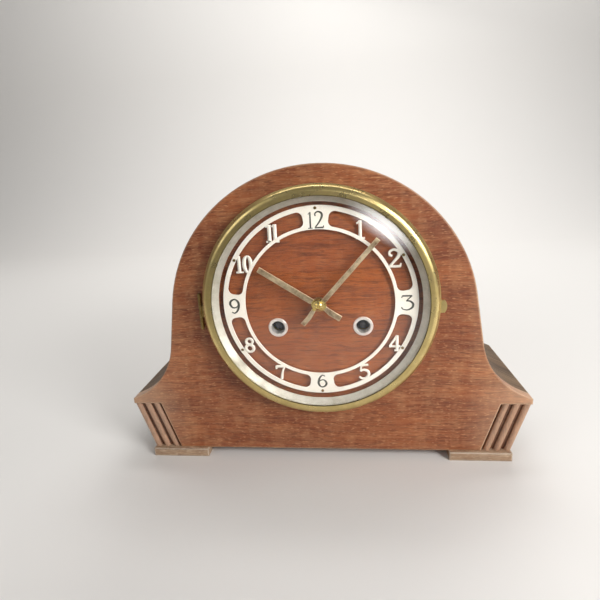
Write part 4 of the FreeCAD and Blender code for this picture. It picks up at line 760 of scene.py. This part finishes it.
@dataclass
class Dial:
    """Pierced ring with its figures, in front of the board."""

    outer: float = 70.0 * MM
    inner: float = 53.7 * MM
    slot_outer: float = 66.8 * MM
    slot_inner: float = 56.0 * MM
    slot_corner: float = 4.0 * MM
    pad_angle: float = math.radians(8.2)
    thickness: float = 1.0 * MM
    edge: float = 0.12 * MM
    engraving: float = 0.35 * MM
    figure_gap: float = 0.04 * MM
    stroke_step: float = 0.012 * MM
    weight: float = 1.32
    ring_points: int = 240
    side_points: int = 60
    corner_points: int = 10
    same_point: float = 0.002 * MM
    no_edge: float = 0.001 * MM

    def slot_loop(self, quarter: int) -> list[Point]:
        """Outline of one slot with rounded corners.

        Args:
            quarter: Which of the four, from the right one upwards.

        Returns:
            Points round the slot.
        """
        start = quarter * QUARTER + self.pad_angle
        end = (quarter + 1) * QUARTER - self.pad_angle
        turn = self.slot_corner
        far = self.slot_outer - turn
        near = self.slot_inner + turn
        far_start, far_end = start + math.asin(turn / far), end - math.asin(turn / far)
        near_start, near_end = start + math.asin(turn / near), end - math.asin(turn / near)
        # Each run: radius and angle of its centre, radius of the arc, and its start and end
        runs = [
            (far, far_start, turn, start - QUARTER, far_start),
            (0.0, 0.0, self.slot_outer, far_start, far_end),
            (far, far_end, turn, far_end, end + QUARTER),
            (near, near_end, turn, end + QUARTER, near_end + math.pi),
            (0.0, 0.0, self.slot_inner, near_end, near_start),
            (near, near_start, turn, near_start + math.pi, start + 3 * QUARTER),
        ]
        loop: list[Point] = []
        for away, angle, radius, first, last in runs:
            count = self.corner_points if away else self.side_points
            for i in range(count):
                at = first + (last - first) * i / (count - 1)
                loop.append((away * math.cos(angle) + radius * math.cos(at),
                             away * math.sin(angle) + radius * math.sin(at)))
        return loop

    def ring_mesh(self) -> Mesh:
        """Flat pierced ring with softened edges, centred on the origin."""
        curve = bpy.data.curves.new("ring outline", "CURVE")
        curve.dimensions = "2D"
        curve.fill_mode = "BOTH"
        curve.extrude = self.thickness / 2 - self.edge
        curve.bevel_depth = self.edge
        curve.bevel_resolution = 1
        curve.offset = -self.edge
        angles = [i * math.tau / self.ring_points for i in range(self.ring_points)]
        loops = [
            [(r * math.cos(a), r * math.sin(a)) for a in angles] for r in (self.outer, self.inner)]
        for loop in loops + [self.slot_loop(quarter) for quarter in range(4)]:
            spline = curve.splines.new("POLY")
            spline.points.add(len(loop) - 1)
            for point, (x, y) in zip(spline.points, loop):
                point.co = (x, y, 0.0, 1.0)
            spline.use_cyclic_u = True
        return evaluated_mesh(new_object("ring outline", curve))

    def stroke_curve(self, figures: Alphabet) -> Object:
        """Curves of several figures, at their places on the ring, with half widths as radii.

        Args:
            figures: The figures with their strokes.

        Returns:
            A curve object at the origin.
        """
        curve = bpy.data.curves.new("figure strokes", "CURVE")
        curve.dimensions = "3D"
        for name, (height, width, x, z) in Figures.places.items():
            scale = height * MM
            left = x * MM - width * scale / 2
            low = z * MM - scale / 2
            for run in figures.get(name, []):
                loop = len(run) == OVAL_POINTS and name in Figures.looped
                points = smooth_run(run, loop) if len(run) > 2 else run
                spline = curve.splines.new("POLY")
                spline.points.add(len(points) - 1)
                for point, (px, py, half) in zip(spline.points, points):
                    point.co = (left + px * scale, low + py * scale, 0.0, 1.0)
                    point.radius = half * scale * self.weight
                spline.use_cyclic_u = loop
        return new_object("figure strokes", curve)

    def stroke_mesh(self, figures: Alphabet, thickness: float, material: Material) -> Mesh:
        """Sweeps a flat section along the strokes of several figures.

        Strokes are thinned by one to four small steps in turn, so that strokes that cross
        have no faces in one plane.

        Args:
            figures: The figures with their strokes.
            thickness: Thickness of the strokes, in metres.
            material: Finish of the strokes.

        Returns:
            Solid strokes, centred on the ring's middle plane.
        """
        sweep = GeometryTree(
            "Figure strokes", Thickness="Float", Step="Float", Material="Material")
        add, given = sweep.add, sweep.given
        half = add("Math", (given["Thickness"], 0.5), operation="MULTIPLY")
        section = add("GeometryNodeCurvePrimitiveQuadrilateral", {"Width": 2.0, "Height": 2.0})
        place = add("SeparateXYZ", (add("GeometryNodeInputPosition"),))
        level = add("GeometryNodeStoreNamedAttribute", {
            "Geometry": section, "Name": "level", "Value": place.outputs["Y"]})
        upright = add("GeometryNodeSetCurveNormal", {"Curve": given["Geometry"]}, mode="Z_UP")
        turn = add("Math", (add("GeometryNodeInputIndex"), 4.0), operation="MODULO")
        step = add("Math", (turn, given["Step"], given["Step"]), operation="MULTIPLY_ADD")
        stepped = add("GeometryNodeStoreNamedAttribute",
                      {"Geometry": upright, "Name": "lower", "Value": step}, domain="CURVE")
        swept = add("GeometryNodeCurveToMesh", {
            "Curve": stepped, "Profile Curve": level, "Fill Caps": True,
            "Scale": add("GeometryNodeInputRadius")})
        kept, lower = (
            add("GeometryNodeInputNamedAttribute", {"Name": name}) for name in ("level", "lower"))
        reach = add("Math", (half, lower), operation="SUBTRACT")
        height = add("Math", (kept, reach), operation="MULTIPLY")
        flat = add("CombineXYZ", {"X": place.outputs["X"], "Y": place.outputs["Y"], "Z": height})
        sweep.end(add("GeometryNodeSetPosition", {"Geometry": swept, "Position": flat}))
        mesh = sweep.work(
            self.stroke_curve(figures), Thickness=thickness, Step=self.stroke_step,
            Material=material)
        self.close_seams(mesh)
        return mesh

    def close_seams(self, mesh: Mesh) -> None:
        """Merges a mesh's doubled points and turns its faces outwards."""
        shape = bmesh.new()
        shape.from_mesh(mesh)
        bmesh.ops.remove_doubles(shape, verts=shape.verts, dist=self.same_point)
        bmesh.ops.dissolve_degenerate(shape, edges=shape.edges, dist=self.no_edge)
        bmesh.ops.recalc_face_normals(shape, faces=shape.faces)
        shape.to_mesh(mesh)
        shape.free()

    def to_front(self, mesh: Mesh) -> None:
        """Turns a mesh drawn face up so that it faces forwards at the ring's place."""
        middle = (RING[0].y + RING[1].y) / 2
        mesh.transform(Matrix.Translation((0.0, middle, DIAL_Z))
                       @ Matrix.Rotation(QUARTER, 4, "X"))

    def build(self) -> None:
        """Builds the ring with its engraved figures, and the figures that bridge its bands."""
        cream, fill = CREAM.build(), BLACK_FILL.build()
        ring = self.ring_mesh()
        self.close_seams(ring)
        ring.materials.clear()
        ring.materials.append(cream)
        ring.materials.append(fill)
        cutter_mesh = self.stroke_mesh(Figures.engraved, 2 * self.engraving, fill)
        cutter_mesh.transform(Matrix.Translation((0.0, 0.0, self.thickness / 2)))
        cutter = new_object("figure cutter", cutter_mesh)
        holder = new_object("ring blank", ring)
        cut = holder.modifiers.new("engrave", "BOOLEAN")
        cut.operation = "DIFFERENCE"
        cut.solver = "EXACT"
        cut.use_self = True
        cut.material_mode = "TRANSFER"
        cut.object = cutter
        engraved = evaluated_mesh(holder)
        bpy.data.objects.remove(cutter, do_unlink=True)
        self.to_front(engraved)
        piece = add_piece("dial_ring", engraved, "case")
        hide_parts("chapter_ring")
        cut_figures = self.stroke_mesh(Figures.cut, self.thickness - self.figure_gap, cream)
        self.to_front(cut_figures)
        add_piece("cut_figures", cut_figures, "case")


@dataclass
class Screws:
    """Slotted wood screws in a face that looks backwards."""

    name: str
    body: str
    slot: str
    finish: Finish
    radius: float
    rise: float = 0.5 * MM
    groove: float = 0.55 * MM
    seed: int = 7

    @staticmethod
    def tree() -> GeometryTree:
        """Tree that sets a slotted head at each point, each turned its own way."""
        heads = GeometryTree(
            "Slotted screws", Radius="Float", Rise="Float", Groove="Float", Seed="Int",
            Material="Material")
        add, given = heads.add, heads.given
        depth = add("Math", (given["Rise"], 2.0), operation="MULTIPLY")
        rim = add("GeometryNodeMeshCylinder", {
            "Vertices": 24, "Radius": given["Radius"], "Depth": depth})
        size = add("CombineXYZ", {"X": 1.0, "Y": given["Groove"], "Z": given["Rise"]})
        bar = add("GeometryNodeMeshCube", {"Size": size})
        lift = add("CombineXYZ", {"Z": given["Rise"]})
        raised = add("GeometryNodeTransform", {"Geometry": bar, "Translation": lift})
        slotted = add("GeometryNodeMeshBoolean", {"Mesh 1": rim, "Mesh 2": raised}, solver="EXACT")
        turn = add("FunctionNodeRandomValue", {2: 0.0, 3: math.pi, "Seed": given["Seed"]})
        angle = add("CombineXYZ", {"Z": turn})
        spots = add("GeometryNodeMeshToPoints", {"Mesh": given["Geometry"]})
        heads.end(add("GeometryNodeInstanceOnPoints", {
            "Points": spots, "Instance": slotted, "Rotation": angle}))
        return heads

    def build(self, spots: Sequence[Point], face: float) -> None:
        """Sets the screws.

        Args:
            spots: Places as x and z, in metres.
            face: Y of the face.
        """
        mesh = bpy.data.meshes.new(f"{self.name} places")
        mesh.from_pydata([(x, -z, 0.0) for x, z in spots], [], [])
        screws = self.tree().work(
            new_object(f"{self.name} places", mesh), Radius=self.radius, Rise=self.rise,
            Groove=self.groove, Seed=self.seed, Material=bpy.data.materials[self.finish.name])
        screws.transform(Matrix.Translation((0.0, face, 0.0)) @ Matrix.Rotation(-QUARTER, 4, "X"))
        add_piece(self.name, screws, self.body)


class Group:
    """Packed nodes of the clock that belong together, by their finish."""

    finishes: dict[Finish, Sequence[str]] = {}

    def dress(self) -> None:
        """Gives each node its finish."""
        for finish, nodes in self.finishes.items():
            material = finish.build()
            for node in nodes:
                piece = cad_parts[node]
                if not piece.material_slots:
                    piece.data.materials.append(material)
                for held in piece.material_slots:
                    held.material = material
                log.info("%s dressed in %s", node, material.name)


class Movement(Group):
    """Plates, trains, pendulum, hammer and gong."""

    finishes = {
        PLATE_BRASS: (
            "front_plate", "back_plate", "pillars", "going_barrel", "strike_barrel",
            "centre_wheel", "third_wheel", "escape_wheel", "pin_wheel", "warning_wheel", "fly",
            "minute_wheel", "hour_wheel", "cannon_pinion", "back_cock", "pendulum_bob",
            "rating_nut"),
        STEEL: (
            "going_ratchet", "strike_ratchet", "going_click", "strike_click", "pallets",
            "pendulum_rod", "hammer", "gong_rod", "movement_posts", "plate_nuts",
            "turn_button_screw"),
        # Winding arbors in steel darkened as painted shade
        SHADED_STEEL: ("going_arbor", "strike_arbor"),
        BLUED_STEEL: ("suspension_spring",),
        IRON: ("gong_block",),
    }


class Case(Group):
    """Wooden case, its feet, back and hinges."""

    finishes = {
        OAK_FRONT: ("front_board",),
        OAK_REEDS: ("reeded_block_left", "reeded_block_right"),
        OAK_WRAP: ("case_wrap", "end_rails"),
        OAK_FEET: ("foot_left", "foot_right"),
        PLAIN_WOOD: ("back_board", "back_door", "turn_button"),
        PLAIN_BLOCKS: ("base_board", "glue_blocks"),
        HINGE_BRASS: (
            "bezel_hinge_case_leaf", "bezel_hinge_moving_leaf", "door_hinge_frames",
            "door_hinge_leaves"),
    }
    # Screws of the back: x and z in mm, and the radius of their heads
    back_spots = (
        (-128, 26), (128, 26), (-82, 62), (82, 62), (-92, 120), (92, 120), (-66, 182), (66, 182),
        (0, 206), (-55, 24), (55, 24))
    back_head = 2.4 * MM
    # Screws of the door's hinges: heights in mm, how far they stand off the middle of a leaf,
    # the radius of their heads, and the thickness of the leaves
    hinge_heights = (62.5, 75.5, 108.5, 121.5)
    hinge_shift = 1.6 * MM
    hinge_head = 1.3 * MM
    hinge_leaf = 1.0 * MM

    def screws(self) -> None:
        """Sets the screws of the back board and of the door's hinges."""
        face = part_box("back_board")[1].y
        Screws("back_screws", "case", "steel", STEEL, self.back_head).build(
            [(x * MM, z * MM) for x, z in self.back_spots], face)
        frames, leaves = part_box("door_hinge_frames"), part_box("door_hinge_leaves")
        for name, body, (low, high), shift in (
                ("frame_hinge_screws", "case", frames, self.hinge_shift),
                ("leaf_hinge_screws", "door", leaves, -self.hinge_shift)):
            middle = (low.x + high.x) / 2 + shift
            Screws(name, body, "bezel_brass", HINGE_BRASS, self.hinge_head).build(
                [(middle, z * MM) for z in self.hinge_heights], face + self.hinge_leaf)


class Bezel(Group):
    """Brass bezel with glass and sight ring."""

    finishes = {
        BEZEL_BRASS: ("bezel_ring", "bezel_catch"),
        SIGHT_SILVER: ("sight_ring",),
        CLEAR_GLASS: ("glass_lens",),
    }


class DialWork(Group):
    """Hands, eyelets and pins."""

    finishes = {
        HAND_BRASS: ("hour_hand", "minute_hand"),
        NUT_BRASS: ("hand_collet", "hand_nut"),
        NICKEL: ("eyelet_left", "eyelet_right"),
        PIN_BRASS: ("ring_pins",),
    }


def facing(place: Place, aim: Place) -> Matrix:
    """Transform of something at a place that shows its underside to the aim."""
    towards = Vector(aim) - Vector(place)
    return Matrix.Translation(place) @ towards.to_track_quat("-Z", "Y").to_matrix().to_4x4()


@dataclass(frozen=True)
class Lamp:
    """Soft rectangular lamp: its place, the point it faces, its sides in metres, its power."""

    name: str
    place: Place
    aim: Place
    size: Point
    watts: float

    def build(self) -> None:
        """Hangs the lamp."""
        data = bpy.data.lights.new(self.name, "AREA")
        data.shape = "RECTANGLE"
        data.size, data.size_y = self.size
        data.energy = self.watts
        new_object(self.name, data).matrix_world = facing(self.place, self.aim)


@dataclass
class Studio:
    """Pale floor, soft lamps and the photograph's camera."""

    # Camera fitted to the photograph: place in metres, turn from a level view, and its field
    place: Place = (0.021606, -0.304691 + FRONT_Y, 0.219323)
    turn: Place = (-0.280915, 0.038804, 0.107633)
    focal_px: float = 439.096
    image_px: float = 600.0
    centre_row: float = 299.0
    sensor: float = 36.0
    near_clip: float = 0.01
    # Backdrop, in metres: its front end, where its bend starts, the bend's radius and steps,
    # its top and half its width
    floor_front: float = -2.5
    bend_start: float = 0.9
    bend: float = 0.6
    bend_steps: int = 12
    wall_top: float = 3.2
    half_width: float = 4.0
    # Card before the clock: its middle, the point it faces, its turn and its half sides
    card_place: Place = (0.46, -1.25, 0.40)
    card_aim: Place = (0.05, FRONT_Y, DIAL_Z)
    card_turn: float = math.radians(-38.0)
    card_half: Point = (0.42, 0.13)
    # Key near the right, weak fill from the left, and one lamp each for the back and the wall
    lamps: tuple[Lamp, ...] = (
        Lamp("key", (0.66, -0.56, 0.48), (0.0, 0.0, 0.11), (0.4, 0.4), 7.2),
        Lamp("fill", (-1.1, -0.9, 0.8), (0.0, 0.0, 0.11), (0.9, 0.9), 3.5),
        Lamp("back", (0.3, 1.1, 1.2), (0.0, 0.0, 0.11), (0.9, 0.6), 7.0),
        Lamp("wall", (0.0, 0.5, 1.5), (0.0, 1.5, 0.4), (1.6, 0.5), 16.0),
    )
    sky: float = 0.22

    def camera(self) -> None:
        """Sets the camera at the photograph's place."""
        data = bpy.data.cameras.new("camera")
        data.sensor_width = self.sensor
        data.lens = self.sensor * self.focal_px / self.image_px
        data.shift_y = (self.centre_row - self.image_px / 2) / self.image_px
        data.clip_start = self.near_clip
        holder = new_object("camera", data)
        turn = Vector(self.turn)
        holder.matrix_world = (Matrix.Translation(self.place)
                               @ Matrix.Rotation(turn.length, 4, turn.normalized())
                               @ Matrix.Rotation(QUARTER, 4, "X"))
        bpy.context.scene.camera = holder

    def backdrop(self) -> None:
        """Floor that curves up into a wall behind the clock."""
        start, bend, steps = self.bend_start, self.bend, self.bend_steps
        profile = [(self.floor_front, 0.0)]
        profile += [(start + bend * math.sin(a), bend - bend * math.cos(a))
                    for a in [i * QUARTER / steps for i in range(steps + 1)]]
        profile.append((start + bend, self.wall_top))
        verts = [(x, y, z) for y, z in profile for x in (-self.half_width, self.half_width)]
        faces = [(2 * i, 2 * i + 1, 2 * i + 3, 2 * i + 2) for i in range(len(profile) - 1)]
        mesh = bpy.data.meshes.new("backdrop")
        mesh.from_pydata(verts, [], faces)
        mesh.polygons.foreach_set("use_smooth", [True] * len(faces))
        mesh.materials.append(PAPER.build())
        floor = new_object("backdrop", mesh)

    def window(self) -> None:
        """Dim card with soft borders, which the convex glass and the bezel reflect."""
        mesh = bpy.data.meshes.new("window card")
        mesh.from_pydata([(-1, -1, 0), (1, -1, 0), (1, 1, 0), (-1, 1, 0)], [], [(0, 1, 2, 3)])
        mesh.materials.append(WINDOW_LIGHT.build())
        card = new_object("window card", mesh)
        card.matrix_world = (facing(self.card_place, self.card_aim)
                             @ Matrix.Rotation(self.card_turn, 4, "Z")
                             @ Matrix.Diagonal((*self.card_half, 1.0, 1.0)))
        card.visible_camera = card.visible_shadow = card.visible_diffuse = False

    def room(self) -> None:
        """Weak even light from all round."""
        world = bpy.data.worlds.new("room")
        bpy.context.scene.world = world
        world.use_nodes = True
        tree = world.node_tree
        tree.nodes.clear()
        sky = add_node(tree, "Background", {"Color": linear("#f2f2f2"), "Strength": self.sky})
        add_node(tree, "OutputWorld", (sky,))

    def build(self) -> None:
        """Builds floor, lamps and camera."""
        self.backdrop()
        for lamp in self.lamps:
            lamp.build()
        self.window()
        self.room()
        self.camera()
        bpy.context.scene.view_settings.view_transform = "Standard"


def main() -> None:
    """Dresses the clock, sets its screws, and builds the dial and the studio."""
    logging.basicConfig(level=logging.INFO)
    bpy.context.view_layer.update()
    case = Case()
    for group in (Movement(), case, Bezel(), DialWork()):
        group.dress()
    case.screws()
    Dial().build()
    Studio().build()
    log.info("sizes kept")


if __name__ == "__main__":
    main()
